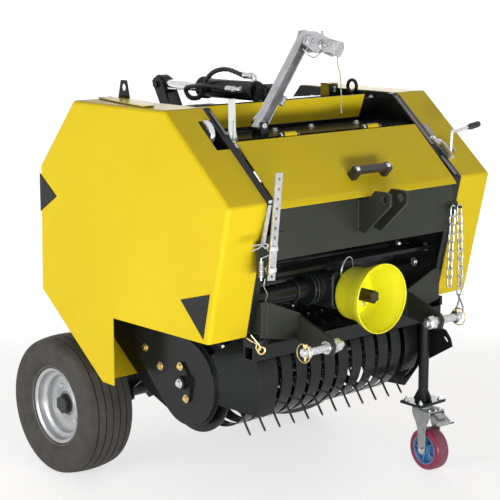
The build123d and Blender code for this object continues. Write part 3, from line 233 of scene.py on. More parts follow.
def makeFinish(name, look):
    # one painted, plated, moulded or rubber finish from its dictionary of values
    material = bpy.data.materials.new(name)
    material.use_nodes = True
    tree = material.node_tree
    shader = tree.nodes["Principled BSDF"]
    if look.get("spangle"):
        patches = spangleNode(tree, look["spangle"])
    else:
        patches = noiseNode(tree, look["patchScale"], 5.0, 0.6)
    colour = rampNode(tree, patches, look["dark"], look["light"])
    grain = noiseNode(tree, look["grainScale"], 3.0, 0.6, look.get("stretch", (1.0, 1.0, 1.0)))
    bevel = tree.nodes.new("ShaderNodeBevel")
    bevel.samples = 4
    bevel.inputs["Radius"].default_value = look.get("edge", 0.0015)
    geometry = tree.nodes.new("ShaderNodeNewGeometry")
    if look.get("wearAndEdgeHighlight"):
        # corners turn the rounded normal away from the flat one, and there the colour is lightened: partly a
        # coat rubbed thin, partly a painted highlight along the edges
        facing = tree.nodes.new("ShaderNodeVectorMath")
        facing.operation = "DOT_PRODUCT"
        tree.links.new(bevel.outputs["Normal"], facing.inputs[0])
        tree.links.new(geometry.outputs["Normal"], facing.inputs[1])
        corner = rangeNode(tree, facing.outputs["Value"], look["wearAndEdgeHighlight"], 0.0, 0.86, 0.995)
        scuffAndHighlightPatches = rangeNode(tree, noiseNode(tree, 40.0, 6.0, 0.7), 0.25, 1.0, 0.35, 0.6)
        colour = mixColour(tree, multiply(tree, corner, scuffAndHighlightPatches), colour, look["wearAndEdgeHighlightColour"])
    if look.get("dustAndTopShade"):
        # faces that look up are mixed towards the dust colour: real dust on the tyres and frame, and on the
        # yellow cover a darker olive that is painted shade of its up-facing faces
        parts = tree.nodes.new("ShaderNodeSeparateXYZ")
        tree.links.new(geometry.outputs["Normal"], parts.inputs[0])
        up = rangeNode(tree, parts.outputs["Z"], 0.0, look["dustAndTopShade"], 0.2, 1.0)
        cloud = rangeNode(tree, noiseNode(tree, 12.0, 6.0, 0.65), 0.0, 1.0, 0.4, 0.65)
        colour = mixColour(tree, multiply(tree, up, cloud), colour, look["dustAndTopShadeColour"])
    tree.links.new(colour, shader.inputs["Base Color"])
    shader.inputs["Metallic"].default_value = look.get("metal", 0.0)
    shader.inputs["Coat Weight"].default_value = look.get("coat", 0.0)
    shader.inputs["Coat Roughness"].default_value = look.get("coatRough", 0.08)
    shader.inputs["Specular IOR Level"].default_value = look.get("specular", 0.5)
    tree.links.new(rangeNode(tree, grain, *look["rough"]), shader.inputs["Roughness"])
    bump = tree.nodes.new("ShaderNodeBump")
    bump.inputs["Strength"].default_value = look.get("bump", 0.05)
    bump.inputs["Distance"].default_value = look.get("bumpDepth", 0.0005)
    tree.links.new(grain, bump.inputs["Height"])
    tree.links.new(bevel.outputs["Normal"], bump.inputs["Normal"])
    tree.links.new(bump.outputs["Normal"], shader.inputs["Normal"])
    return material


finishLooks = {
    # the cover's lighter edge colour is a painted highlight along its edges
    "coverPaint": dict(
        patchScale=2.2, dark=(0.80, 0.58, 0.010), light=(0.87, 0.66, 0.016), grainScale=240.0,
        rough=(0.30, 0.42), specular=0.14, bump=0.06, edge=0.0022,
        # the cover's dust colour is a darker olive, painted shade of its up-facing faces
        wearAndEdgeHighlight=0.35, wearAndEdgeHighlightColour=(0.95, 0.80, 0.06), dustAndTopShade=0.06, dustAndTopShadeColour=(0.50, 0.42, 0.10),
    ),
    # the frame's lighter edge colour is a painted highlight along its black edges
    "framePaint": dict(
        patchScale=8.0, dark=(0.0075, 0.0085, 0.008), light=(0.014, 0.0165, 0.015), grainScale=300.0,
        rough=(0.16, 0.34), specular=0.22, bump=0.10, edge=0.0016,
        wearAndEdgeHighlight=0.40, wearAndEdgeHighlightColour=(0.10, 0.11, 0.10), dustAndTopShade=0.10, dustAndTopShadeColour=(0.040, 0.042, 0.034),
    ),
    "beamPaint": dict(
        patchScale=4.0, dark=(0.026, 0.029, 0.021), light=(0.040, 0.044, 0.032), grainScale=300.0,
        rough=(0.30, 0.46), specular=0.20, bump=0.10, edge=0.0016,
        wearAndEdgeHighlight=0.5, wearAndEdgeHighlightColour=(0.20, 0.21, 0.20),
    ),
    "barZinc": dict(
        patchScale=30.0, dark=(0.36, 0.36, 0.37), light=(0.58, 0.57, 0.59), grainScale=160.0,
        stretch=(1.0, 1.0, 0.15), rough=(0.28, 0.46), metal=0.9, bump=0.12, edge=0.0008,
    ),
    "satinSteel": dict(
        patchScale=12.0, dark=(0.56, 0.56, 0.58), light=(0.78, 0.78, 0.80), grainScale=300.0,
        rough=(0.20, 0.34), metal=0.9, bump=0.05, edge=0.0010,
    ),
    "railSteel": dict(
        patchScale=20.0, dark=(0.16, 0.145, 0.16), light=(0.24, 0.225, 0.24), grainScale=240.0,
        rough=(0.34, 0.50), metal=0.5, bump=0.10, edge=0.0010,
    ),
    # a dark brown steel for the drive shaft; its darkness is painted shade of the guard cone's hollow
    "shadedHollowSteel": dict(
        patchScale=40.0, dark=(0.045, 0.038, 0.022), light=(0.085, 0.075, 0.050), grainScale=240.0,
        rough=(0.26, 0.42), metal=0.8, bump=0.12, edge=0.0008,
    ),
    "plateGrey": dict(
        patchScale=60.0, dark=(0.50, 0.46, 0.50), light=(0.62, 0.58, 0.62), grainScale=400.0,
        rough=(0.30, 0.42), bump=0.04, edge=0.0005,
    ),
    "guardPlastic": dict(
        patchScale=10.0, dark=(0.95, 0.90, 0.020), light=(1.0, 0.96, 0.030), grainScale=700.0,
        rough=(0.30, 0.42), specular=0.45, bump=0.05, edge=0.0015,
    ),
    "zincPlate": dict(
        spangle=300.0, dark=(0.50, 0.51, 0.52), light=(0.68, 0.69, 0.70), grainScale=300.0,
        rough=(0.24, 0.42), metal=1.0, bump=0.12, edge=0.0008,
    ),
    "goldZinc": dict(
        patchScale=300.0, dark=(0.52, 0.36, 0.13), light=(0.86, 0.68, 0.34), grainScale=500.0,
        rough=(0.22, 0.38), metal=1.0, bump=0.10, edge=0.0006,
    ),
    "castorZinc": dict(
        patchScale=60.0, dark=(0.27, 0.28, 0.28), light=(0.42, 0.43, 0.42), grainScale=260.0,
        rough=(0.32, 0.50), metal=0.75, bump=0.12, edge=0.0010,
    ),
    "chromeRod": dict(
        patchScale=20.0, dark=(0.62, 0.63, 0.65), light=(0.80, 0.81, 0.82), grainScale=500.0,
        rough=(0.07, 0.14), metal=1.0, bump=0.02,
    ),
    "rollerSteel": dict(
        patchScale=18.0, dark=(0.10, 0.10, 0.105), light=(0.22, 0.22, 0.22), grainScale=120.0,
        stretch=(0.1, 1.0, 1.0), rough=(0.30, 0.55), metal=1.0, bump=0.12,
    ),
    "tyreRubber": dict(
        patchScale=26.0, dark=(0.048, 0.045, 0.041), light=(0.080, 0.074, 0.067), grainScale=420.0,
        rough=(0.62, 0.86), specular=0.28, bump=0.30, bumpDepth=0.0008, edge=0.0012,
        dustAndTopShade=0.5, dustAndTopShadeColour=(0.17, 0.15, 0.125),
    ),
    "rimPaint": dict(
        patchScale=24.0, dark=(0.40, 0.41, 0.42), light=(0.56, 0.57, 0.58), grainScale=300.0,
        rough=(0.26, 0.42), metal=0.55, bump=0.08, edge=0.0010,
        wearAndEdgeHighlight=0.5, wearAndEdgeHighlightColour=(0.80, 0.80, 0.80),
    ),
    "castIron": dict(
        patchScale=16.0, dark=(0.0075, 0.0085, 0.0085), light=(0.016, 0.018, 0.0175), grainScale=170.0,
        rough=(0.34, 0.55), specular=0.45, bump=0.40, bumpDepth=0.0010, edge=0.0020,
        wearAndEdgeHighlight=0.45, wearAndEdgeHighlightColour=(0.12, 0.13, 0.125),
    ),
    "castorTread": dict(
        patchScale=30.0, dark=(0.20, 0.012, 0.050), light=(0.30, 0.022, 0.075), grainScale=300.0,
        rough=(0.28, 0.42), bump=0.06, edge=0.0012,
    ),
    "castorBand": dict(
        patchScale=120.0, dark=(0.15, 0.045, 0.065), light=(0.26, 0.085, 0.11), grainScale=500.0,
        rough=(0.55, 0.75), bump=0.35, bumpDepth=0.0007,
    ),
    "castorHub": dict(
        patchScale=30.0, dark=(0.075, 0.20, 0.42), light=(0.12, 0.29, 0.54), grainScale=500.0,
        rough=(0.30, 0.42), bump=0.05, edge=0.0012, wearAndEdgeHighlight=0.7, wearAndEdgeHighlightColour=(0.34, 0.56, 0.80),
    ),
    "blackPlastic": dict(
        patchScale=20.0, dark=(0.012, 0.012, 0.013), light=(0.024, 0.024, 0.026), grainScale=600.0,
        rough=(0.30, 0.46), bump=0.12, edge=0.0020,
    ),
    "hoseRubber": dict(
        patchScale=40.0, dark=(0.008, 0.008, 0.008), light=(0.020, 0.020, 0.020), grainScale=500.0,
        rough=(0.34, 0.55), bump=0.15,
    ),
    "indicatorWhite": dict(
        patchScale=30.0, dark=(0.74, 0.80, 0.75), light=(0.86, 0.88, 0.86), grainScale=300.0,
        rough=(0.24, 0.34), edge=0.0012, wearAndEdgeHighlight=0.8, wearAndEdgeHighlightColour=(0.10, 0.42, 0.24),
    ),
    "twineFibre": dict(
        patchScale=400.0, dark=(0.30, 0.46, 0.14), light=(0.62, 0.76, 0.34), grainScale=1500.0,
        rough=(0.70, 0.90), bump=0.5, edge=0.0002,
    ),
}
finishes = {name: makeFinish(name, look) for name, look in finishLooks.items()}

slotFinish = {
    "cover_paint": "coverPaint",
    "frame_paint": "framePaint",
    "panel_paint": "coverPaint",
    "guard_plastic": "guardPlastic",
    "plated_steel": "zincPlate",
    "rod_chrome": "chromeRod",
    "roller_steel": "rollerSteel",
    "tyre": "tyreRubber",
    "rim_paint": "rimPaint",
    "cast_grey": "castIron",
    "castor_tread": "castorTread",
    "black_plastic": "blackPlastic",
    "hose_rubber": "hoseRubber",
    "indicator_white": "indicatorWhite",
    "twine_fibre": "twineFibre",
}
nodeSlots = {row["node"]: row["material_slot"] for row in frame["record"]["subparts"]}
nodeFinish = {
    "front_beam": "beamPaint",
    "toplink_clevis": "beamPaint",
    "hitch_arms": "beamPaint",
    "twine_arm": "barZinc",
    "twine_guide": "barZinc",
    "pto_shaft": "shadedHollowSteel",
}

for nodeName, node in nodes.items():
    finish = nodeFinish.get(nodeName) or slotFinish[nodeSlots[nodeName]]
    if not node.material_slots:
        node.data.materials.append(None)
    for place in node.material_slots:
        place.material = finishes[finish]
print("finishes made:", len(finishes))

# Builders: every length in millimetres


def placeAt(point, axis, up=None):
    # a frame at the point, its Z along the axis and its Y as near to up as it can be
    z = Vector(axis).normalized()
    hint = Vector(up or ((0, 0, 1) if abs(z.z) < 0.9 else (0, 1, 0)))
    y = (hint - z * hint.dot(z)).normalized()
    turn = Matrix((y.cross(z), y, z)).transposed()
    return Matrix.Translation(point) @ turn.to_4x4()


def joinRings(work, low, high):
    steps = max(len(low), len(high))
    for step in range(steps):
        after = (step + 1) % steps
        corners = [
            low[step % len(low)], low[after % len(low)], high[after % len(high)], high[step % len(high)],
        ]
        corners = list(dict.fromkeys(corners))
        if len(corners) > 2:
            work.faces.new(corners)


def addLathe(work, profile, place, steps=32, closed=False):
    # a profile of (radius, height) rows turned about the frame's Z
    rings = []
    for radius, height in profile:
        if radius < 1e-6:
            rings.append([work.verts.new(place @ Vector((0.0, 0.0, height)))])
            continue
        ring = []
        for step in range(steps):
            angle = 2.0 * math.pi * (step + 0.5) / steps
            spot = Vector((radius * math.cos(angle), radius * math.sin(angle), height))
            ring.append(work.verts.new(place @ spot))
        rings.append(ring)
    for low, high in zip(rings, rings[1:] + (rings[:1] if closed else [])):
        joinRings(work, low, high)


def addPrism(work, outline, place, depth):
    # a flat outline in the frame's X and Y, made depth thick along its Z
    low = [work.verts.new(place @ Vector((x, y, 0.0))) for x, y in outline]
    high = [work.verts.new(place @ Vector((x, y, depth))) for x, y in outline]
    joinRings(work, low, high)
    work.faces.new(low[::-1])
    work.faces.new(high)


def addBlock(work, low, high):
    x0, y0, z0 = low
    x1, y1, z1 = high
    addPrism(work, [(x0, y0), (x1, y0), (x1, y1), (x0, y1)], Matrix.Translation((0, 0, z0)), z1 - z0)


def addTube(work, points, radius, sides=8, closed=False):
    # a round wire along the points; radius may be one value or one for each point
    points = [Vector(point) for point in points]
    count = len(points)
    radii = radius if isinstance(radius, (list, tuple)) else [radius] * count
    normal = None
    rings = []
    for spot, point in enumerate(points):
        before = points[spot - 1] if spot or closed else point
        after = points[(spot + 1) % count] if spot < count - 1 or closed else point
        along = (after - before).normalized()
        normal = along.orthogonal() if normal is None else normal
        normal = (normal - along * normal.dot(along)).normalized()
        side = along.cross(normal)
        ring = []
        for step in range(sides):
            angle = 2.0 * math.pi * step / sides
            ring.append(work.verts.new(
                point + (normal * math.cos(angle) + side * math.sin(angle)) * radii[spot]
            ))
        rings.append(ring)
    for low, high in zip(rings, rings[1:] + (rings[:1] if closed else [])):
        joinRings(work, low, high)
    if not closed:
        work.faces.new(rings[0][::-1])
        work.faces.new(rings[-1])


def smoothLine(points, steps=6):
    # a line of short steps that passes through every point without a corner
    points = [Vector(point) for point in points]
    ends = [points[0] * 2 - points[1], *points, points[-1] * 2 - points[-2]]
    line = []
    for a, b, c, d in zip(ends, ends[1:], ends[2:], ends[3:]):
        for step in range(steps):
            t = step / steps
            line.append(0.5 * (
                2 * b + (c - a) * t + (2 * a - 5 * b + 4 * c - d) * t * t + (3 * b - a - 3 * c + d) * t ** 3
            ))
    return line + [points[-1]]


def coil(place, radius, pitch, turns, steps=14):
    total = int(turns * steps)
    line = []
    for step in range(total + 1):
        angle = 2.0 * math.pi * step / steps
        spot = Vector((radius * math.cos(angle), radius * math.sin(angle), pitch * step / steps))
        line.append(place @ spot)
    return line


def addRing(work, place, radius, wire, steps=24, sides=8):
    circle = []
    for step in range(steps):
        angle = 2 * math.pi * step / steps
        circle.append(place @ Vector((radius * math.cos(angle), radius * math.sin(angle), 0)))
    addTube(work, circle, wire, sides, closed=True)


def addBolt(work, point, axis, size, washer=1.4, sink=0.6):
    # a hexagon head on its washer; size is the radius to the head's corners
    place = placeAt(point, axis)
    head = size * 0.75
    if washer:
        rim = size * washer
        addLathe(work, [(0, -sink), (rim, -sink), (rim, 1.2), (0, 1.2)], place, 20)
    addLathe(work, [(0, 0.4), (size, 0.4), (size, head), (size * 0.82, head + size * 0.14),
                    (0, head + size * 0.14)], place, 6)


def ribbon(points, thickness):
    # both sides of an open line of (radius, height) rows, as one closed profile
    one, other = [], []
    for spot, point in enumerate(points):
        before = Vector(points[max(spot - 1, 0)])
        after = Vector(points[min(spot + 1, len(points) - 1)])
        along = (after - before).normalized()
        across = Vector((-along.y, along.x)) * thickness / 2.0
        one.append(tuple(Vector(point) + across))
        other.append(tuple(Vector(point) - across))
    return one + other[::-1]


def finishPiece(work, name, finish, body, replaces=(), rounded=0.0, sharp=35.0):
    bmesh.ops.scale(work, vec=(0.001, 0.001, 0.001), verts=work.verts)
    bmesh.ops.recalc_face_normals(work, faces=work.faces)
    mesh = bpy.data.meshes.new(name)
    work.to_mesh(mesh)
    work.free()
    for polygon in mesh.polygons:
        polygon.use_smooth = True
    mesh.set_sharp_from_angle(angle=math.radians(sharp))
    mesh.materials.append(finishes[finish])
    piece = bpy.data.objects.new(name, mesh)
    bpy.context.scene.collection.objects.link(piece)
    if rounded:
        edges = piece.modifiers.new("roundedEdges", "BEVEL")
        edges.width = rounded * 0.001
        edges.segments = 2
        edges.limit_method = "ANGLE"
        edges.angle_limit = math.radians(40.0)
    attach(piece, body)
    if replaces:
        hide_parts(*replaces)
    return piece


# Loose end of twine: a free cord from the guide's shelf to its knot

twineLook = {
    "route": [
        (0.080, -0.232, 1.226),
        (0.080, -0.232, 1.205),
        (0.082, -0.233, 1.184),
        (0.093, -0.233, 1.158),
        (0.094, -0.232, 1.128),
        (0.099, -0.231, 1.100),
        (0.096, -0.232, 1.078),
        (0.098, -0.232, 1.058),
    ],
    "radius": 0.0017,
    "length": 0.170,
    "knot": 3.4,
    "tails": [(5, 2, -6), (-4, 1, -7), (1, -3, -8)],
}


def makeTwine(look):
    data = bpy.data.curves.new("twineEnd", "CURVE")
    data.dimensions = "3D"
    spline = data.splines.new("NURBS")
    spline.points.add(len(look["route"]) - 1)
    for point, place in zip(spline.points, look["route"]):
        point.co = (*place, 1.0)
    spline.order_u = 3
    spline.use_endpoint_u = True
    spline.resolution_u = 10
    data.bevel_depth = look["radius"]
    data.bevel_resolution = 3
    data.use_fill_caps = True
    data.materials.append(finishes["twineFibre"])
    twine = bpy.data.objects.new("twineEnd", data)
    bpy.context.scene.collection.objects.link(twine)
    work = bmesh.new()
    end = Vector(look["route"][-1]) * 1000.0
    addRing(work, placeAt(end, (1, 0.3, 0.2)), look["knot"] * 0.55, 1.5, 12, 8)
    addRing(work, placeAt(end + Vector((0, 0, 1.0)), (0.2, 1, 0.5)), look["knot"] * 0.55, 1.5, 12, 8)
    for tail in look["tails"]:
        tip = end + Vector(tail) * 0.45
        addTube(work, [end, end + Vector(tail) * 0.3, tip], [1.1, 0.9, 0.4], 6)
    knot = finishPiece(work, "twineKnot", "twineFibre", "arm")
    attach(twine, "arm")
    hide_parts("twine")


makeTwine(twineLook)
print("twine made")

# Wheels: ribbed tyre on a stepped rim

wheelLook = {
    "track": 425.0, "axleY": 340.0, "axleZ": 203.0, "steps": 128, "crown": 203.0, "crownDrop": 5.5,
    "grooves": (-48.0, -24.0, 0.0, 24.0, 48.0), "grooveHalf": 1.9, "grooveDeep": 5.0,
    "sidewall": [
        # distance from the middle, radius
        (54.0, 104.0), (60.0, 112.0), (64.5, 119.0), (70.0, 125.5), (71.6, 126.6), (73.0, 129.2),
        (74.6, 131.0), (78.4, 140.0), (80.6, 147.0), (81.8, 149.0), (82.2, 156.0), (82.5, 163.0),
        (80.5, 178.0), (78.2, 184.0), (77.8, 186.0), (74.5, 190.0), (70.5, 193.4), (66.0, 195.6),
    ],
    "rimHalf": [
        (62.5, 117.5), (60.0, 116.5), (57.2, 112.0), (56.5, 106.0), (54.0, 102.5), (40.0, 100.5),
        (36.5, 98.5), (33.0, 93.0), (31.5, 87.5), (25.0, 85.0),
    ],
    "disc": [(15.0, 84.0), (16.5, 80.0), (13.5, 70.0), (12.0, 55.0), (15.0, 45.0), (18.0, 36.0)],
    "sheet": 3.0, "nuts": 4, "nutRing": 56.0, "nutSize": 8.0, "barrel": 34.0, "cap": 28.0,
}


def tyreProfile(look):
    # from the inner bead over the tread to the outer bead
    rows = [(radius, -place) for place, radius in look["sidewall"]]
    half = look["grooveHalf"]
    for middle in look["grooves"]:
        for offset, deep in ((-half, 0.0), (-half * 0.7, 1.0), (half * 0.7, 1.0), (half, 0.0)):
            place = middle + offset
            crown = look["crown"] - look["crownDrop"] * (place / 60.0) ** 2
            rows.append((crown - deep * look["grooveDeep"], place))
    rows += [(radius, place) for place, radius in reversed(look["sidewall"])]
    return rows


def makeWheel(look, name, side):
    place = placeAt((side * look["track"], look["axleY"], look["axleZ"]), (side, 0, 0))
    body = "wheel_" + name
    work = bmesh.new()
    addLathe(work, tyreProfile(look), place, look["steps"], closed=True)
    finishPiece(work, "tyreRound_" + name, "tyreRubber", body, ("tyre_" + name,), sharp=40.0)
    work = bmesh.new()
    outer = [(radius, offset) for offset, radius in look["rimHalf"]]
    inner = [(radius, -offset) for offset, radius in reversed(look["rimHalf"])]
    addLathe(work, ribbon(outer + inner, look["sheet"]), place, 96, closed=True)
    addLathe(work, ribbon([(r, x) for x, r in look["disc"]], look["sheet"]), place, 72, closed=True)
    barrel = look["barrel"]
    addLathe(work, [(15.3, -80), (barrel, -80), (barrel, 18), (barrel - 3, 21), (barrel - 3, 24), (15.3, 24)],
             place, 48, closed=True)
    finishPiece(work, "rimPressed_" + name, "rimPaint", body, ("rim_" + name,), sharp=40.0)
    work = bmesh.new()
    cap = look["cap"]
    addLathe(work, [(0, 24.2), (cap, 24.2), (cap, 38), (cap - 3, 42), (cap * 0.5, 42), (cap * 0.5 - 2, 40.5),
                    (0, 40.5)], place, 6)
    addLathe(work, [(15.6, 22), (cap + 3, 22), (cap + 3, 25.5), (15.6, 25.5)], place, 40, closed=True)
    stem = place @ Vector((52.0, 54.0, 14.0))
    tip = place @ Vector((58.0, 60.0, 40.0))
    addTube(work, [stem, place @ Vector((54.0, 56.0, 28.0)), tip], [5, 4.2, 3.6], 12)
    finishPiece(work, "hubCap_" + name, "blackPlastic", body, sharp=30.0)
    work = bmesh.new()
    for step in range(look["nuts"]):
        angle = 2 * math.pi * (step + 0.4) / look["nuts"]
        spot = place @ Vector((look["nutRing"] * math.cos(angle), look["nutRing"] * math.sin(angle), 13.2))
        addBolt(work, spot, (side, 0, 0), look["nutSize"])
    finishPiece(work, "wheelNuts_" + name, "zincPlate", body)


for wheelName, wheelSide in (("left", -1), ("right", 1)):
    makeWheel(wheelLook, wheelName, wheelSide)
print("wheels made")

# Castor: pressed fork, brake pedal and a two-colour wheel

castorLook = {
    "post": (360.0, -324.0), "turn": -6.0, "trail": 32.0, "radius": 62.5, "half": 23.0,
    "cheekGap": 27.0, "sheet": 3.0, "rimInner": 44.5, "spokes": 5,
}


def castorFrame(look):
    # X to the wheel's side, Y forward along its roll, Z up, from the post's foot
    turn = math.radians(look["turn"])
    side = Vector((math.cos(turn), math.sin(turn), 0))
    forward = Vector((side.y, -side.x, 0))
    turned = Matrix((side, forward, Vector((0, 0, 1)))).transposed()
    return Matrix.Translation((*look["post"], 0)) @ turned.to_4x4()


def makeCastor(look):
    base = castorFrame(look)
    gap, sheet, trail = look["cheekGap"], look["sheet"], look["trail"]
    work = bmesh.new()
    foot = [(trail - 2.0 + 15.0 * math.cos(a), 62.5 + 15.0 * math.sin(a))
            for a in (math.radians(-d) for d in range(0, 181, 20))]
    # (distance forward, height) rows; the frames made on the axis run backwards, so the first is turned round
    cheek = [(-14, 183), (61, 183), (62, 168), (56, 153), (49, 140), (45, 124), (45, 90), *foot,
             (13, 90), (11, 120), (2, 142), (-10, 160), (-14, 168)]
    for side in (-1, 1):
        spot = base @ Vector((side * (gap + sheet / 2) - sheet / 2, 0, 0))
        place = placeAt(spot, base.to_3x3() @ Vector((1, 0, 0)))
        addPrism(work, [(-a, z) for a, z in cheek], place, sheet)
    addPrism(work, [(-gap - sheet, -14), (gap + sheet, -14), (gap + sheet, 61), (-gap - sheet, 61)],
             base @ Matrix.Translation((0, 0, 179)), 4.0)
    addLathe(work, [(0, 182), (30, 182), (31, 184), (29, 187), (31, 189), (29, 191), (0, 191)],
             base, 40)
    finishPiece(work, "castorForkPressed", "castorZinc", "castor", ("castor_fork",),
                rounded=0.9)
    work = bmesh.new()
    axis = base.to_3x3() @ Vector((1, 0, 0))
    for side in (-1, 1):
        spot = base @ Vector((side * (gap + sheet), trail, look["radius"]))
        addBolt(work, spot, axis * side, 8.5, 1.25)
    centre = base @ Vector((0, trail, look["radius"]))
    addTube(work, [centre - axis * (gap + sheet), centre + axis * (gap + sheet)], 5.8, 20)
    for spot in ((-20, 50), (0, 54), (20, 50)):
        addBolt(work, base @ Vector((spot[0], spot[1], 183.0)), (0, 0, 1), 4.5)
    finishPiece(work, "castorBolts", "zincPlate", "castor")
    work = bmesh.new()
    place = placeAt(base @ Vector((-26, 0, 0)), axis)
    pedal = [(44, 176), (62, 174), (92, 158), (94, 151), (90, 147), (86, 152), (61, 168), (44, 170)]
    addPrism(work, [(-a, z) for a, z in pedal], place, 52.0)
    addPrism(work, [(-a, z) for a, z in ((60, 172), (84, 164), (86, 168), (62, 178))],
             placeAt(base @ Vector((-14, 0, 0)), axis), 28.0)
    finishPiece(work, "castorPedal", "castorZinc", "castor", rounded=1.0)
    work = bmesh.new()
    addTube(work, [base @ Vector((-30, 84, 146)), base @ Vector((46, 84, 146))], 2.4, 10)
    finishPiece(work, "castorPedalRod", "blackPlastic", "castor")
    makeCastorWheel(look, placeAt(centre, axis))
    work = bmesh.new()
    corners = [(-46, -34), (46, -34), (46, 34), (-46, 34)]
    addPrism(work, corners, Matrix.Translation((*look["post"], 191.6)), 3.3)
    for x, y in ((-42, -28), (42, -28), (42, 28), (-42, 28)):
        addBolt(work, (look["post"][0] + x, look["post"][1] + y, 203.0), (0, 0, 1), 7.0)
        addTube(work, [(look["post"][0] + x, look["post"][1] + y, 204.0),
                       (look["post"][0] + x, look["post"][1] + y, 214.0)], 3.2, 10)
    finishPiece(work, "castorPlateBolts", "zincPlate", "jack")


def makeCastorWheel(look, place):
    radius, half, inner = look["radius"], look["half"], look["rimInner"]
    work = bmesh.new()
    edge = [(inner, 1.5 - half), (radius - 8, -half), (radius - 3.5, 1.2 - half), (radius - 1.2, 4.5 - half)]
    profile = edge + [(radius - 0.6, -12.4)] + [(radius - 0.6, 12.4)] + [(r, -h) for r, h in reversed(edge)]
    addLathe(work, profile, place, 72, closed=True)
    finishPiece(work, "castorTyre", "castorTread", "castor_roll", ("castor_wheel",))
    work = bmesh.new()
    band = [(radius - 2, -12), (radius, -11.4), (radius, 11.4), (radius - 2, 12)]
    addLathe(work, band, place, 72, closed=True)
    finishPiece(work, "castorTreadBand", "castorBand", "castor_roll")
    work = bmesh.new()
    hub = [
        (inner + 0.2, 1 - half), (inner + 0.2, half - 1), (inner - 3, half - 1.5), (inner - 5, half - 7),
        (inner - 5.5, 4), (19, 4), (17, 10), (16, half), (6.2, half), (6.2, -half), (16, -half),
        (17, -10), (19, -4), (inner - 5.5, -4), (inner - 5, 7 - half), (inner - 3, 1.5 - half),
    ]
    addLathe(work, hub, place, 72, closed=True)
    for step in range(look["spokes"]):
        angle = 2 * math.pi * step / look["spokes"]
        spoke = place @ Matrix.Rotation(angle, 4, "Z")
        for low in (-15.0, 3.5):
            addPrism(work, [(15, -2.2), (inner - 4, -3.2), (inner - 4, 3.2), (15, 2.2)],
                     spoke @ Matrix.Translation((0, 0, low)), 11.5)
    finishPiece(work, "castorHubSpoked", "castorHub", "castor_roll", rounded=0.5)


makeCastor(castorLook)
print("castor made")

# Safety chain of bent wire links

chainLook = {
    "wire": 2.6, "endRadius": 8.0, "pitch": 25.0, "slack": 1.7, "innerEnd": 5.5,
    "strands": [
        [(324, -449, 797), (320, -449, 690), (316, -449, 560)],
        [(350, -449, 797), (352, -455, 686), (340, -468, 604), (319, -484, 545)],
    ],
}


def along(stations, distance):
    for a, b in zip(stations, stations[1:]):
        a, b = Vector(a), Vector(b)
        span = (b - a).length
        if distance <= span:
            return a + (b - a) * (distance / span)
        distance -= span
    return None


def addLink(work, middle, down, face, reach, radius, wire):
    # a stadium of wire, its long way along down and its flat side towards face
    side = face.cross(down).normalized()
    loop = []
    for end in (1, -1):
        for step in range(9):
            angle = math.pi * (step / 8 - 0.5)
            loop.append(middle + down * end * (reach / 2 + radius * math.cos(angle)) +
                        side * end * radius * math.sin(angle))
    addTube(work, loop, wire, 8, closed=True)


def makeChain(look):
    work = bmesh.new()
    reach = look["pitch"] + look["slack"] - 2 * look["innerEnd"]
    for stations in look["strands"]:
        step = 0
        while along(stations, (step + 1) * look["pitch"]):
            top = along(stations, step * look["pitch"])
            low = along(stations, (step + 1) * look["pitch"])
            down = (low - top).normalized()
            face = Vector((0, -1, 0)) if step % 2 == 0 else Vector((1, 0, 0))
            face = (face - down * face.dot(down)).normalized()
            addLink(work, (top + low) / 2, down, face, reach, look["endRadius"], look["wire"])
            step += 1
    finishPiece(work, "chainLinks", "zincPlate", "frame", ("safety_chain",))


makeChain(chainLook)
print("chain made")

# Tine reel with sprung wire tines

reelLook = {
    "y": -154.0, "z": 366.0, "bars": 3, "barRadius": 85.0, "phase": 199.3, "shaft": 20.0, "end": 384.0,
    "barHalf": 312.0, "barThick": 10.0, "spiders": (-305.0, -107.2, 107.2, 305.0), "pitch": 53.6, "tines": 12,
    "tinePath": [(-80, -28), (-96, -62), (-114, -94), (-130, -118), (-144, -136)],
    "wire": 3.1, "coilRadius": 13.0, "coilTurns": 2.5,
}


def makeReel(look):
    centre = Vector((0, look["y"], look["z"]))
    work = bmesh.new()
    end = look["end"]
    addLathe(work, [(0, -end), (look["shaft"] - 2, -end), (look["shaft"], -end + 2), (look["shaft"], end - 2),
                    (look["shaft"] - 2, end), (0, end)], placeAt(centre, (1, 0, 0)), 32)
    for bar in range(look["bars"]):
        angle = math.radians(look["phase"] + bar * 360 / look["bars"])
        out = Vector((0, math.cos(angle), math.sin(angle)))
        across = Vector((0, -out.z, out.y))
        spot = centre + out * look["barRadius"]
        half = look["barHalf"]
        addTube(work, [spot - Vector((half, 0, 0)), spot + Vector((half, 0, 0))], look["barThick"], 20)
        for x in look["spiders"]:
            place = placeAt(centre + Vector((x - 3, 0, 0)), (1, 0, 0), out)
            reach = look["barRadius"]
            addPrism(work, [(-19, 0), (19, 0), (15, reach - 8), (11, reach + 6), (0, reach + 12),
                            (-11, reach + 6), (-15, reach - 8)], place, 6.0)
    finishPiece(work, "reelCore", "framePaint", "reel", ("tine_reel",), rounded=0.8)
    work = bmesh.new()
    for bar in range(look["bars"]):
        turn = math.radians(bar * 360 / look["bars"])
        rows = [(dy * math.cos(turn) - dz * math.sin(turn), dy * math.sin(turn) + dz * math.cos(turn))
                for dy, dz in look["tinePath"]]
        for tine in range(look["tines"]):
            x = (tine - (look["tines"] - 1) / 2) * look["pitch"]
            barSpot = centre + Vector((x - 7, rows[0][0], rows[0][1]))
            first = Vector((0, rows[1][0] - rows[0][0], rows[1][1] - rows[0][1])).normalized()
            spring = coil(placeAt(barSpot, (1, 0, 0), first), look["coilRadius"], 5.6, look["coilTurns"])
            addTube(work, spring, look["wire"], 6)
            line = smoothLine([centre + Vector((x, dy, dz)) for dy, dz in rows], 4)
            addTube(work, line, [look["wire"]] * (len(line) - 1) + [look["wire"] * 0.6], 8)
    finishPiece(work, "reelTines", "framePaint", "reel")


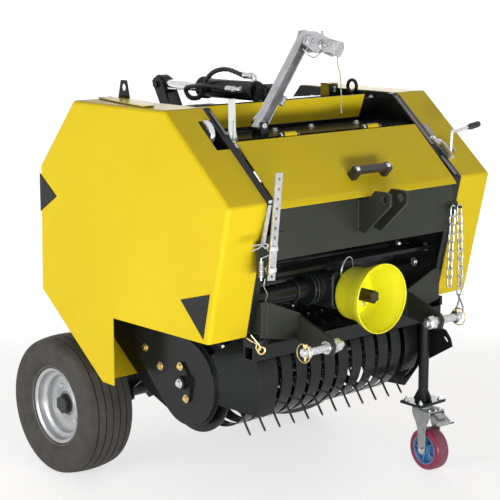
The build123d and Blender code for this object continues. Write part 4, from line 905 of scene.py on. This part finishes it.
makeReel(reelLook)
print("reel made")

# Plates with round holes, lynch pins and clips


def holedOutline(outline, centre, radius, steps=16):
    # an outline with a round hole, joined to it by one cut line
    nearest = min(range(len(outline)), key=lambda i: (Vector(outline[i]) - Vector(centre)).length)
    away = Vector(outline[nearest]) - Vector(centre)
    start = math.atan2(away.y, away.x)
    area = sum(a[0] * b[1] - b[0] * a[1] for a, b in zip(outline, outline[1:] + outline[:1]))
    way = -1 if area > 0 else 1
    hole = [(centre[0] + radius * math.cos(start + way * 2 * math.pi * s / steps),
             centre[1] + radius * math.sin(start + way * 2 * math.pi * s / steps)) for s in range(steps + 1)]
    turned = outline[nearest:] + outline[:nearest]
    return turned + [turned[0]] + hole


def addHoleStrip(work, place, length, width, holes, radius, depth, steps=16):
    # a flat strip along the frame's Y with a row of round holes, made cell by cell
    cuts = [0.0] + [(a + b) / 2 for a, b in zip(holes, holes[1:])] + [length]
    half = width / 2
    for low, high, hole in zip(cuts, cuts[1:], holes):
        corners = [(half, high), (-half, high), (-half, low), (half, low)]
        angles = sorted({math.atan2(y - hole, x) % (2 * math.pi) for x, y in corners} |
                        {2 * math.pi * s / steps + 0.01 for s in range(steps)})
        inner, outer = [], []
        for angle in angles:
            c, s = math.cos(angle), math.sin(angle)
            reach = min(half / abs(c) if abs(c) > 1e-6 else 1e9,
                        ((high - hole) / s if s > 0 else (low - hole) / s) if abs(s) > 1e-6 else 1e9)
            inner.append((radius * c, hole + radius * s))
            outer.append((reach * c, hole + reach * s))
        layers = []
        for z in (0.0, depth):
            layers.append([
                [work.verts.new(place @ Vector((x, y, z))) for x, y in row] for row in (inner, outer)
            ])
        (inLow, outLow), (inHigh, outHigh) = layers
        joinRings(work, inLow, outLow)
        joinRings(work, inHigh, outHigh)
        joinRings(work, inLow, inHigh)
        joinRings(work, outLow, outHigh)
    bmesh.ops.remove_doubles(work, verts=work.verts, dist=0.01)


def addLynchPin(work, point, axis, ring, up=(0, 0, 1)):
    # a pin through a bar's end, with a sprung ring over it; axis is the way the bar points
    place = placeAt(point, axis, up)
    addTube(work, [place @ Vector((0, 17, 0)), place @ Vector((0, -22, 0))], [4.2, 3.2], 12)
    addLathe(work, [(0, -4), (6, -4), (6.5, 0), (6, 4), (0, 4)], placeAt(place @ Vector((0, 18, 0)), up), 14)
    addRing(work, place @ Matrix.Translation((0, -1, 5)), ring, 1.5, 32, 8)


def addClip(work, place, length=34.0, wire=1.5):
    # an R-shaped spring clip lying in the frame's X and Y
    bend = [(0, 0), (length, 0)]
    addTube(work, [place @ Vector((x, y, 0)) for x, y in bend], wire, 8)
    wave = [(0, 0), (-5, 2.5), (-7, 7), (-4, 11), (2, 11), (7, 6), (12, 3.6), (18, 6), (24, 9), (length, 13)]
    addTube(work, smoothLine([place @ Vector((x, y, 0)) for x, y in wave], 4), wire, 8)


print("helpers for small parts ready")

# Guard cone: drawn body, flared mouth with a rolled edge

guardLook = {
    "height": 590.0,
    "outside": [
        # radius, distance forward of Y = 0
        (68, 382), (71, 387), (71.5, 405), (73, 422), (77, 438), (83, 456), (89, 470), (93, 481), (94.4, 489),
    ],
    "floor": [(30.0, 384.0), (60.0, 384.0)],
    "wall": 3.5, "rolled": 1.9, "boltRing": 52.0, "boltFront": -385.5, "boltSize": 5.5,
}


def makeGuard(look):
    place = placeAt((0, 0, look["height"]), (0, -1, 0))
    line = [(p.x, p.y) for p in smoothLine([(r, h, 0) for r, h in look["outside"]], 4)]
    line = [(r - look["wall"] / 2, h) for r, h in line]
    work = bmesh.new()
    addLathe(work, ribbon(look["floor"] + line, look["wall"]), place, 96, closed=True)
    mouth = line[-1]
    addRing(work, place @ Matrix.Translation((0, 0, mouth[1])), mouth[0], look["rolled"], 96, 8)
    finishPiece(work, "guardCone", "guardPlastic", "frame", ("pto_guard",), sharp=50.0)
    work = bmesh.new()
    for angle in (45, 135, 225, 315):
        turn = math.radians(angle)
        ring = look["boltRing"]
        spot = (ring * math.cos(turn), look["boltFront"], look["height"] + ring * math.sin(turn))
        addBolt(work, spot, (0, -1, 0), look["boltSize"])
    finishPiece(work, "guardConeBolts", "zincPlate", "frame")


makeGuard(guardLook)

# Gearbox details: filler caps, rings on the side tube, cooling ribs and the wire loop

gearboxLook = {
    "caps": [(-26.0, 640.0, 15.0), (40.0, 636.0, 8.0)], "front": -372.0,
    "loop": [
        (-44, -378, 632), (-47, -384, 655), (-40, -386, 678), (-26, -386, 690), (-10, -384, 684),
        (0, -380, 660),
    ],
    "tubeRings": [(-92.0, 46.0), (-104.0, 45.0), (-152.0, 31.0)], "tube": (-303.0, 604.0),
    "flangeX": -92.5, "flangeBolts": 6, "flangeRing": 36.0,
    "ribs": (566.0, 584.0, 616.0, 634.0), "ribHalf": 2,
}


def makeGearbox(look):
    work = bmesh.new()
    for x, z, size in look["caps"]:
        place = placeAt((x, look["front"] + 1, z), (0, -1, 0))
        cap = [(0, 0), (size, 0), (size, 5), (size - 3, 7), (size - 6, 7), (size - 7, 5.5), (0, 5.5)]
        addLathe(work, cap, place, 28)
    for x, size in look["tubeRings"]:
        place = placeAt((x, *look["tube"]), (1, 0, 0))
        ring = [(26, -3), (size, -3), (size + 1, -1), (size + 1, 1), (size, 3), (26, 3)]
        addLathe(work, ring, place, 56, closed=True)
    y, z = look["tube"]
    for bolt in range(look["flangeBolts"]):
        angle = math.radians(bolt * 360 / look["flangeBolts"])
        reach = look["flangeRing"]
        spot = (look["flangeX"], y + reach * math.cos(angle), z + reach * math.sin(angle))
        addBolt(work, spot, (-1, 0, 0), 5.0)
    half = look["ribHalf"]
    for z in look["ribs"]:
        addBlock(work, (-70.5, -366, z - half), (-66, -268, z + half))
        addBlock(work, (66, -366, z - half), (70.5, -268, z + half))
    finishPiece(work, "gearboxTrim", "castIron", "frame", rounded=0.6)
    work = bmesh.new()
    addTube(work, smoothLine(look["loop"], 5), 2.2, 8)
    finishPiece(work, "gearboxLever", "zincPlate", "frame")


makeGearbox(gearboxLook)
print("guard and gearbox made")

# Black triangles on the left cover

markLook = {
    "face": -491.0, "fold": 11.0, "rearY": 388.0, "proud": 0.5, "sheet": 0.8, "cuts": 5,
    "triangles": {
        "rear": [(380, 883), (296, 823), (386, 767)],
        "front": [(-252, 622), (-369, 655), (-342, 534)],
    },
}


def makeMarks(look):
    for name, corners in look["triangles"].items():
        work = bmesh.new()
        work.faces.new([work.verts.new((0.0, y, z)) for y, z in corners])
        for _ in range(look["cuts"]):
            bmesh.ops.subdivide_edges(work, edges=work.edges, cuts=1, use_grid_fill=True)
        for vertex in work.verts:
            # the rear edge of the cover is folded round, and the mark follows it
            inside = look["fold"] - (look["rearY"] - vertex.co.y)
            drop = look["fold"] - math.sqrt(max(look["fold"] ** 2 - max(inside, 0.0) ** 2, 0.0))
            vertex.co.x = look["face"] - look["proud"] + drop
        piece = finishPiece(work, "coverMark_" + name, "framePaint", "frame")
        sheet = piece.modifiers.new("sheet", "SOLIDIFY")
        sheet.thickness = look["sheet"] * 0.001
        sheet.offset = 0.0


makeMarks(markLook)

# Bolts that show on the covers, plates, bands and beam

boltRows = {
    "goldBolts": ("goldZinc", [
        # place, axis, size
        ((-400, 18, 428), (-1, 0, 0), 8.5), ((-400, -48, 388), (-1, 0, 0), 8.5),
        ((-389, -82, 474), (-1, 0, 0), 8.5),
        ((-407, -142, 408), (-1, 0, 0), 8.0), ((-407, -166, 324), (-1, 0, 0), 8.0),
        ((-366, 60, 500), (-1, 0, 0), 8.0), ((-366, 92, 440), (-1, 0, 0), 8.0),
        ((366, -80, 500), (1, 0, 0), 8.0), ((390, -230, 400), (1, 0, 0), 8.0),
        ((390, -60, 430), (1, 0, 0), 8.0),
    ]),
    "silverBolts": ("zincPlate", [
        ((353.9, -220, 657), (-1, 0, 0), 7.0), ((353.9, -260, 654), (-1, 0, 0), 8.0),
        ((353.9, -325, 663), (-1, 0, 0), 9.0), ((353.9, -283, 612), (-1, 0, 0), 9.0),
        ((-389, 29, 465), (-1, 0, 0), 12.0), ((390, -154, 366), (1, 0, 0), 11.0),
        ((-420, -154, 366), (-1, 0, 0), 9.0),
    ]),
}

bandLook = {
    "rows": 11, "first": -268.0, "pitch": 53.6, "y": -154.0, "z": 366.0, "reach": 144.0,
    "angles": (86.1, 112.0, -60.0), "size": 4.2,
}

innerLook = {
    "face": 353.9, "size": 6.5,
    "plate": [
        (300, 560), (330, 640), (340, 760), (300, 880), (150, 1060), (-100, 1075), (-60, 600), (60, 600),
    ],
    "braceX": (150, 238), "brace": [(112, 380), (144, 380)], "braceSize": 6.0,
}


def makeBolts(rows, bands, inner):
    for name, (finish, places) in rows.items():
        work = bmesh.new()
        for point, axis, size in places:
            addBolt(work, point, axis, size)
        finishPiece(work, name, finish, "frame")
    work = bmesh.new()
    for row in range(bands["rows"]):
        x = bands["first"] + bands["pitch"] * row
        for angle in bands["angles"]:
            turn = math.radians(angle)
            out = Vector((0, math.cos(turn), math.sin(turn)))
            spot = Vector((x, bands["y"], bands["z"])) + out * bands["reach"]
            addBolt(work, spot, out, bands["size"], washer=0)
    finishPiece(work, "bandBolts", "zincPlate", "frame")
    work = bmesh.new()
    for side in (-1, 1):
        for y, z in inner["plate"]:
            addBolt(work, (side * inner["face"], y, z), (-side, 0, 0), inner["size"])
        for x in inner["braceX"]:
            for y, z in inner["brace"]:
                addBolt(work, (side * x, y, z), (side, 0, 0), inner["braceSize"])
    finishPiece(work, "innerBolts", "zincPlate", "frame")


makeBolts(boltRows, bandLook, innerLook)
print("marks and bolts made")

# Left hole bar on its dark ear, with a spring, clip and pull wire

barLook = {
    "low": (-378.0, 690.0), "high": (-352.0, 955.0), "y": -471.0, "width": 22.0, "thick": 5.0, "hole": 4.0,
    "ear": [(-392, 692), (-341, 700), (-341, 800), (-392, 780)], "earY": -435.0,
    "strip": [(-384, 776), (-371, 776), (-347, 884), (-359, 884)],
    "holes": (0.04, 0.10, 0.30, 0.40, 0.49, 0.58, 0.67, 0.76, 0.85, 0.94), "pins": (0.10, 0.30),
    "wire": [(-383, -452, 692), (-381, -446, 672), (-366, -438, 655), (-356, -430, 641), (-345, -410, 622)],
}


def makeHoleBar(look):
    # the bar's ends are (X, Z) rows, and its holes and pins are shares of its length
    low, high = (Vector((x, look["y"], z)) for x, z in (look["low"], look["high"]))
    alongBar = high - low
    place = placeAt(low + Vector((0, look["thick"], 0)), (0, -1, 0), alongBar)
    length = alongBar.length
    holes = [length * share for share in look["holes"]]
    work = bmesh.new()
    addHoleStrip(work, place, length, look["width"], holes, look["hole"], look["thick"])
    finishPiece(work, "holeBarStrip", "barZinc", "frame", ("hole_bar",), rounded=0.4)
    work = bmesh.new()
    addPrism(work, look["ear"], placeAt((0, look["earY"], 0), (0, -1, 0)), -6.0)
    addBlock(work, (-341, -435, 728), (-301, -432, 800))
    finishPiece(work, "holeBarEar", "beamPaint", "frame", rounded=0.8)
    work = bmesh.new()
    addPrism(work, look["strip"], placeAt((0, -436, 0), (0, -1, 0)), 3.0)
    for share in look["pins"]:
        spot = low + alongBar * share
        addTube(work, [spot + Vector((0, -9, 0)), spot + Vector((0, 36, 0))], 4.0, 12)
        addBolt(work, spot, (0, -1, 0), 9.0)
        addBolt(work, spot + Vector((0, 10, 0)), (0, 1, 0), 9.0, washer=1.5)
    spring = placeAt(Vector((-404, -461, 700)), (0, 0, 1))
    addTube(work, coil(spring, 5.0, 4.5, 9), 1.3, 6)
    addTube(work, [(-404, -461, 692), (-404, -461, 748), (-380, -461, 752)], 1.8, 8)
    finishPiece(work, "holeBarHardware", "zincPlate", "frame")
    work = bmesh.new()
    addClip(work, placeAt(Vector((-404, -477, 787)), (0, -1, 0), (0, 0, -1)), 46.0, 1.8)
    addTube(work, smoothLine(look["wire"], 5), 1.3, 6)
    finishPiece(work, "holeBarClip", "zincPlate", "frame")


makeHoleBar(barLook)

# Hitch: lynch pins, washers, nuts, spring clips and the bow at the chain's end

hitchLook = {
    "y": -502.0, "z": 498.0, "pinX": 292.0, "ring": 24.0, "washers": (219.0, 283.0), "nut": 187,
    "bow": [
        (319, -484, 548), (312, -488, 530), (300, -490, 516), (293, -500, 512),
        (296, -516, 508), (304, -512, 522), (315, -494, 538), (319, -484, 548),
    ],
}


def makeHitch(look):
    work = bmesh.new()
    for side in (-1, 1):
        addLynchPin(work, Vector((side * look["pinX"], look["y"], look["z"])), (side, 0, 0), look["ring"])
    addClip(work, placeAt(Vector((-396, -448, 522)), (-0.5, -0.8, 0), (-0.8, 0.2, -0.6)), 38.0, 1.7)
    addRing(work, placeAt(Vector((-386, -442, 508)), (-0.6, -0.8, 0)), 9.0, 2.4, 20, 8)
    addClip(work, placeAt(Vector((340, -344, 484)), (0, -1, 0), (0, 0, 1)), 34.0, 1.6)
    finishPiece(work, "lynchPins", "goldZinc", "frame")
    work = bmesh.new()
    for side in (-1, 1):
        for x in look["washers"]:
            place = placeAt(Vector((side * x, look["y"], look["z"])), (side, 0, 0))
            washer = [(10.9, -1.5), (17, -1.5), (17.6, 0), (17, 1.5), (10.9, 1.5)]
            addLathe(work, washer, place, 32, closed=True)
        place = placeAt(Vector((side * look["nut"], look["y"], look["z"])), (-side, 0, 0))
        addLathe(work, [(0, -4), (18.4, -4), (18.4, 12), (15.5, 16), (0, 16)], place, 6)
        addLathe(work, [(0, 15), (9, 15), (9, 26), (7.5, 28), (0, 28)], place, 20)
    addTube(work, smoothLine(look["bow"], 5), 2.8, 8)
    finishPiece(work, "hitchHardware", "zincPlate", "frame")


makeHitch(hitchLook)
print("hole bar and hitch made")

# Cylinder: dark eye on a bright rod, port elbow and a hose with a spiral guard

hoseLook = {
    "route": [
        (-85, -66, 1158), (-85, -30, 1158), (-87, 38, 1171), (-104, 80, 1160), (-122, 99, 1124),
        (-126, 108, 1093), (-136, 140, 1089), (-143, 148, 1115), (-141, 74, 1126), (-124, 14, 1121),
        (-124, -36, 1121),
    ],
    "radius": 6.0, "guard": 1.5, "pitch": 6.5,
    "fitting": [
        (0, -18), (8.6, -18), (9, -16), (8.2, -14), (9, -12), (8.2, -10), (9, -8), (9, 2), (7, 4), (7, 10),
        (0, 10),
    ],
    "ends": [
        # start, the way it points, the way its elbow turns
        ((-85, -52, 1158), (0, -1, 0), (0, 0, -1)), ((-124, -24, 1121), (0, -1, 0), (1, 0, 0)),
    ],
}

cylinderLook = {
    "x": -85.0, "base": (-129.0, 1117.0), "eye": (330.0, 1114.0), "rod": 14.0, "rodStart": 251,
    "eyeRadius": 28.0, "eyeHalf": 15.0, "bore": 18.6, "rings": [(44.0, 27.2), (252.0, 30.0)],
    "gland": [(27, 262), (31.5, 262), (31.5, 270), (20, 273.5), (14.4, 273.5), (14.4, 262)],
}


def makeCylinder(look):
    base, eye = Vector((look["x"], *look["base"])), Vector((look["x"], *look["eye"]))
    down = (eye - base).normalized()
    work = bmesh.new()
    rod = look["rod"]
    reach = (eye - base).length - 24.0
    start = look["rodStart"]
    addLathe(work, [(0, start), (rod, start), (rod, reach), (0, reach)], placeAt(base, down), 40)
    finishPiece(work, "cylinderRodBar", "chromeRod", "ram_rod", ("cylinder_rod",))
    work = bmesh.new()
    half, outer, bore = look["eyeHalf"], look["eyeRadius"], look["bore"]
    ring = [
        (bore, -half), (outer - 1.5, -half), (outer, 1.5 - half), (outer, half - 1.5), (outer - 1.5, half),
        (bore, half),
    ]
    addLathe(work, ring, placeAt(eye, (1, 0, 0)), 40, closed=True)
    collar = [(0, reach - 9), (rod + 1, reach - 9), (rod + 1.5, reach - 7), (rod + 1.5, reach), (0, reach)]
    addLathe(work, collar, placeAt(base, down), 32)
    finishPiece(work, "cylinderRodEye", "framePaint", "ram_rod")
    work = bmesh.new()
    for height, radius in look["rings"]:
        addRing(work, placeAt(base + down * height, down), radius, 1.6, 40, 8)
    addLathe(work, look["gland"], placeAt(base, down), 40, closed=True)
    finishPiece(work, "cylinderRings", "framePaint", "ram_barrel")


def makeHose(look):
    line = smoothLine(look["route"], 8)
    work = bmesh.new()
    addTube(work, line, look["radius"], 14)
    finishPiece(work, "hoseCore", "hoseRubber", "ram_barrel", ("hydraulic_hose",))
    turns = []
    travelled = 0.0
    normal = None
    fine = smoothLine(look["route"], 40)
    for here, after in zip(fine, fine[1:]):
        step = (after - here).normalized()
        normal = step.orthogonal() if normal is None else normal
        normal = (normal - step * normal.dot(step)).normalized()
        side = step.cross(normal)
        travelled += (after - here).length
        angle = 2 * math.pi * travelled / look["pitch"]
        turns.append(here + (normal * math.cos(angle) + side * math.sin(angle)) * (look["radius"] + 0.5))
    work = bmesh.new()
    addTube(work, turns[12:-12], look["guard"], 5)
    finishPiece(work, "hoseGuard", "hoseRubber", "ram_barrel")
    work = bmesh.new()
    for start, way, drop in look["ends"]:
        place = placeAt(start, way)
        addLathe(work, look["fitting"], place, 24)
        addLathe(work, [(0, 9), (9.5, 9), (9.5, 18), (0, 18)], place, 6)
        bend = place @ Vector((0, 0, 24))
        drop = Vector(drop)
        addTube(work, smoothLine([place @ Vector((0, 0, 16)), bend, bend + drop * 8 + Vector(way) * 2,
                                  bend + drop * 17], 4), 6.5, 14)
        addLathe(work, [(0, 10), (9, 10), (9, 16), (0, 16)], placeAt(bend, drop), 6)
    finishPiece(work, "hoseFittings", "zincPlate", "ram_barrel")


makeCylinder(cylinderLook)
makeHose(hoseLook)
print("cylinder and hose made")

# Left cover top: feed disc, raised flap and the level indicator with its slotted slide

leftTopLook = {
    "disc": (-392.0, -221.0, 1032.0), "discRadius": 36.0,
    "flap": [(-369, 202), (-388, 0), (-451, -104), (-482, -98), (-446, 76), (-412, 202)],
    "indicator": [(-339, 1121), (-317, 1121), (-315, 1040), (-308, 1012), (-330, 1012), (-339, 1040)],
    "pointer": [(-326, 1064), (-319, 1064), (-321, 1006), (-328, 1006)],
    "slide": (-330, -268, 1013), "slideWay": (0, -147, -138), "slideHoles": [8.0, 26.0, 44.0, 56.0],
}


def makeLeftTop(look):
    work = bmesh.new()
    x, y, z = look["disc"]
    big = look["discRadius"]
    disc = [(0, 2.0), (8, 2.0), (10, 0), (big - 6, -1), (big - 1, 2), (big, 6), (big, 14), (big - 4, 18),
            (10, 18), (10, 26), (0, 26)]
    addLathe(work, disc, placeAt((x, y, z), (1, 0, 0)), 64)
    finishPiece(work, "feedDiscTurned", "satinSteel", "frame", ("feed_disc",))
    work = bmesh.new()
    addPrism(work, look["flap"], Matrix.Translation((0, 0, 1098.5)), 2.5)
    finishPiece(work, "coverFlap", "coverPaint", "frame", rounded=0.6)
    work = bmesh.new()
    centre = sum((Vector(p) for p in look["flap"]), Vector((0, 0))) / len(look["flap"])
    inner = [tuple(centre + (Vector(p) - centre) * 0.95) for p in look["flap"]]
    addPrism(work, inner, Matrix.Translation((0, 0, 1095.5)), 3.2)
    finishPiece(work, "coverFlapSeal", "blackPlastic", "frame")
    work = bmesh.new()
    addPrism(work, look["indicator"], placeAt((0, -262, 0), (0, -1, 0)), 3.0)
    finishPiece(work, "levelScale", "indicatorWhite", "frame", ("level_indicator",),
                rounded=0.5)
    work = bmesh.new()
    addPrism(work, look["pointer"], placeAt((0, -267, 0), (0, -1, 0)), 2.5)
    finishPiece(work, "levelPointer", "indicatorWhite", "frame")
    work = bmesh.new()
    slope = Vector(look["slideWay"]).normalized()
    place = placeAt(look["slide"], (0, slope.z, -slope.y), slope)
    addHoleStrip(work, place, 62.0, 12.0, look["slideHoles"], 2.4, 2.5)
    finishPiece(work, "levelSlide", "zincPlate", "frame")


makeLeftTop(leftTopLook)

# Right slope: rail strip, stepped seal, blank plate, crank bracket and the crank's bright rod

rightLook = {
    "slopeTop": (-190.0, 1096.0), "slopeLow": (-441.0, 876.0),
    "crank": [(378, -388, 932), (374, -394, 990), (380, -395, 999), (404, -396, 1001), (440, -400, 1007)],
    "grip": [(436, -399.5, 1006), (446, -401, 1008), (478, -405, 1014)], "outward": (0, -0.66, 0.75),
    "rails": [
        # left X, right X, share at the top, share at the low end, lift, thickness
        (343.0, 353.0, 0.04, 0.62, 0.3, 3.0), (343.0, 353.0, 0.76, 0.97, 0.3, 3.0),
        (-353.0, -345.0, 0.05, 0.30, 0.3, 2.5),
    ],
    "seals": [(355.0, 368.5, 0.03, 0.60, -1.0, 2.2), (355.0, 366.5, 0.60, 0.99, -1.0, 2.2)],
    "label": [(371.0, 387.0, 0.385, 0.53, 0.0, 0.8)],
    "bracket": [
        (362.0, 392.0, 0.66, 0.80, 0.0, 4.0), (362.0, 366.0, 0.66, 0.80, 0.0, 26.0),
        (386.0, 392.0, 0.70, 0.76, 3.0, 20.0),
    ],
}


def onSlope(look, share, lift=0.0):
    # a (y, z) point of the cover's slope, share of the way down it, lifted off it
    top, low = Vector(look["slopeTop"]), Vector(look["slopeLow"])
    run = low - top
    out = Vector((run.y, -run.x)).normalized()
    return top + run * share + out * lift


def slopeFrame(x):
    # X of the frame is the model's Y, Y is the model's Z, and Z is the model's X
    return Matrix.Translation((x, 0, 0)) @ Matrix(((0, 0, 1), (1, 0, 0), (0, 1, 0))).to_4x4()


def addSlopePlates(work, look, rows):
    # flat plates lying on the slope, each between two X and two shares of the way down
    for left, right, top, low, lift, thick in rows:
        corners = ((top, lift), (top, lift + thick), (low, lift + thick), (low, lift))
        outline = [tuple(onSlope(look, share, height)) for share, height in corners]
        addPrism(work, outline, slopeFrame(left), right - left)


def makeRightTop(look):
    work = bmesh.new()
    addSlopePlates(work, look, look["rails"])
    finishPiece(work, "slopeRails", "railSteel", "frame", rounded=0.4)
    work = bmesh.new()
    addSlopePlates(work, look, look["seals"])
    finishPiece(work, "slopeSeal", "blackPlastic", "frame")
    work = bmesh.new()
    addSlopePlates(work, look, look["label"])
    finishPiece(work, "blankPlate", "plateGrey", "frame")
    work = bmesh.new()
    addSlopePlates(work, look, look["bracket"])
    for share, x in ((0.56, 370.0), (0.60, 384.0)):
        y, z = onSlope(look, share, 0.0)
        addBolt(work, (x, y, z), look["outward"], 8.0)
    addTube(work, smoothLine(look["crank"], 5), 5.2, 14)
    finishPiece(work, "crankRod", "satinSteel", "frame", rounded=0.5)
    work = bmesh.new()
    addTube(work, smoothLine(look["grip"], 4), [7.0] * 4 + [9.4] * 4 + [8.4], 16)
    y, z = onSlope(look, 0.745, 0.0)
    addLathe(work, [(0, 0), (12, 0), (12, 14), (9, 17), (0, 17)], placeAt((378, y, z), look["outward"]), 24)
    finishPiece(work, "crankGrip", "blackPlastic", "frame", ("crank_lever",))


makeRightTop(rightLook)

# Lifting eyes, catch box and tray bolts near the top

topLook = {
    "eye": (354.0, -21.0, 1106.0), "eyeRadius": 18.0, "eyeWire": 5.2,
    "plate": [(130, 1048), (178, 1048), (178, 1100), (166, 1148), (142, 1148), (130, 1100)],
    "plateX": -360, "plateHole": (154, 1128), "plateBore": 10.0, "plateThick": 5.0,
    "trayZ": 1015, "trayBolts": [(-86, -160), (60, -150), (230, -160), (-250, -150)],
    "catchBolts": [(334.0, 33, 1088.0), (334.0, 33, 1098.0)],
}


def makeTop(look):
    work = bmesh.new()
    addRing(work, placeAt(look["eye"], (1, 0, 0)), look["eyeRadius"], look["eyeWire"], 40, 12)
    addBlock(work, (348, -33, 1072), (359.8, -17, 1094))
    plate = holedOutline(look["plate"], look["plateHole"], look["plateBore"])
    addPrism(work, plate, slopeFrame(look["plateX"]), look["plateThick"])
    finishPiece(work, "liftingEyes", "framePaint", "frame", ("lifting_eyes",), rounded=0.6)
    work = bmesh.new()
    addBlock(work, (318, 36, 1078), (352, 70, 1108))
    addBlock(work, (322, 33, 1084), (346, 37, 1102))
    finishPiece(work, "catchBox", "blackPlastic", "frame", rounded=1.2)
    work = bmesh.new()
    addBlock(work, (314, 38, 1076), (317, 72, 1112))
    addBlock(work, (314, 38, 1109), (354, 72, 1112))
    finishPiece(work, "catchCover", "coverPaint", "frame", rounded=0.5)
    work = bmesh.new()
    for x, y in look["trayBolts"]:
        addBolt(work, (x, y, look["trayZ"]), (0, 0, 1), 8.0)
    for spot in look["catchBolts"]:
        addBolt(work, spot, (0, -1, 0), 3.6)
    finishPiece(work, "topBolts", "zincPlate", "frame")


makeTop(topLook)
print("top pieces made")

# Twine arm: side rod, tube stub, clamping discs and wire loop on the guide

armLook = {
    "rod": [(-240, -247, 1062), (-186, -247, 1106), (-170, -247, 1122)],
    "stub": (-136.0, -246.0, 1103.0), "lean": (160, 0, 223), "plateFront": -247,
    "discs": [(-34, 1258, 17), (10, 1246, 15)], "bolts": [(56, 1246), (78, 1238), (62, 1222)],
    "rib": [(46, 1256), (52, 1214), (57, 1214), (52, 1256)],
    "loop": [(-66, -249, 1238), (-52, -251, 1224), (-30, -252, 1214), (-8, -251, 1222), (8, -249, 1232)],
}


def makeArm(look):
    work = bmesh.new()
    addTube(work, smoothLine(look["rod"], 4), 2.4, 10)
    addTube(work, smoothLine(look["loop"], 5), 1.6, 8)
    lean = Vector(look["lean"]).normalized()
    stub = Vector(look["stub"])
    front = look["plateFront"]
    addTube(work, [stub - lean * 12, stub + lean * 14], 7.0, 20)
    addBolt(work, (-203, -244, 1043), (0, -1, 0), 9.0)
    addBolt(work, (-43, front, 1266), (0, -1, 0), 8.0)
    for discX, discZ, radius in look["discs"]:
        place = placeAt((discX, front, discZ), (0, -1, 0))
        disc = [(0, 0), (radius, 0), (radius, 2), (radius - 3, 3), (radius - 5, 6), (6, 7), (0, 7)]
        addLathe(work, disc, place, 36)
        addLathe(work, [(0, 7), (7, 7), (7, 12), (0, 12)], place, 6)
    addTube(work, coil(placeAt((10, -254, 1246), (0, -1, 0)), 6.5, 2.6, 4), 1.0, 6)
    for boltX, boltZ in look["bolts"]:
        addBolt(work, (boltX, front, boltZ), (0, -1, 0), 3.6)
    addTube(work, [(18, -236, 1266), (18, -236, 1283)], 3.2, 10)
    addPrism(work, look["rib"], placeAt((0, front, 0), (0, -1, 0)), 2.0)
    finishPiece(work, "armHardware", "barZinc", "arm")


makeArm(armLook)

# Handle bolts and hinge pin heads of the hood, and the nuts on the gate's pivots

hoodLook = {
    "handle": (25.0, -404.0, 908.9), "feet": (-58.0, 58.0), "outward": (0, -0.683, 0.730), "footHeight": 32.0,
    "hinges": (-140.0, 172.0), "knuckleHalf": 27.5, "pivot": (100, 1010), "plateFace": 368, "lipFace": 339,
}


def makeHoodTrim(look):
    work = bmesh.new()
    outward = Vector(look["outward"])
    for foot in look["feet"]:
        spot = Vector(look["handle"]) + Vector((foot, 0, 0)) + outward * look["footHeight"]
        addBolt(work, spot, outward, 5.0)
    finishPiece(work, "handleBolts", "zincPlate", "hood_lid")
    work = bmesh.new()
    for x in look["hinges"]:
        for side in (-1, 1):
            addLathe(work, [(0, 0), (7.5, 0), (7.5, 3), (5.5, 5), (0, 5)],
                     placeAt((x + side * look["knuckleHalf"], -276, 1017), (side, 0, 0)), 24)
    finishPiece(work, "hingePinHeads", "zincPlate", "frame")
    work = bmesh.new()
    for side in (-1, 1):
        addBolt(work, (side * look["plateFace"], *look["pivot"]), (side, 0, 0), 12.0)
        place = placeAt((side * look["lipFace"], *look["pivot"]), (-side, 0, 0))
        addLathe(work, [(16, 0), (26, 0), (26, 4), (24, 5), (16, 5)], place, 36, closed=True)
    finishPiece(work, "gatePivotNuts", "zincPlate", "frame")


makeHoodTrim(hoodLook)
print("arm and hood trim made")

# Weld beads on the hitch arms and the top link bracket

weldLook = {
    "beads": [
        # start, end
        ((-204, -391.5, 498), (-204, -391.5, 562)), ((204, -391.5, 498), (204, -391.5, 562)),
        ((-27, -432.5, 774), (-27, -432.5, 850)), ((-35.5, -432.5, 774), (-35.5, -432.5, 850)),
        ((35.5, -432.5, 774), (35.5, -432.5, 850)), ((-322, -391.5, 525), (-322, -391.5, 606)),
    ],
    "radius": 2.6, "pitch": 4.0, "seed": 11,
}


def makeWelds(look):
    random.seed(look["seed"])
    work = bmesh.new()
    for start, end in look["beads"]:
        start, end = Vector(start), Vector(end)
        count = int((end - start).length / look["pitch"] * 2)
        line, radii = [], []
        for step in range(count + 1):
            line.append(start + (end - start) * step / count)
            radii.append(look["radius"] * (1.0 if step % 2 else 0.78) * random.uniform(0.9, 1.1))
        addTube(work, line, radii, 8)
    finishPiece(work, "weldBeads", "beamPaint", "frame", sharp=60.0)


makeWelds(weldLook)
print("welds made")
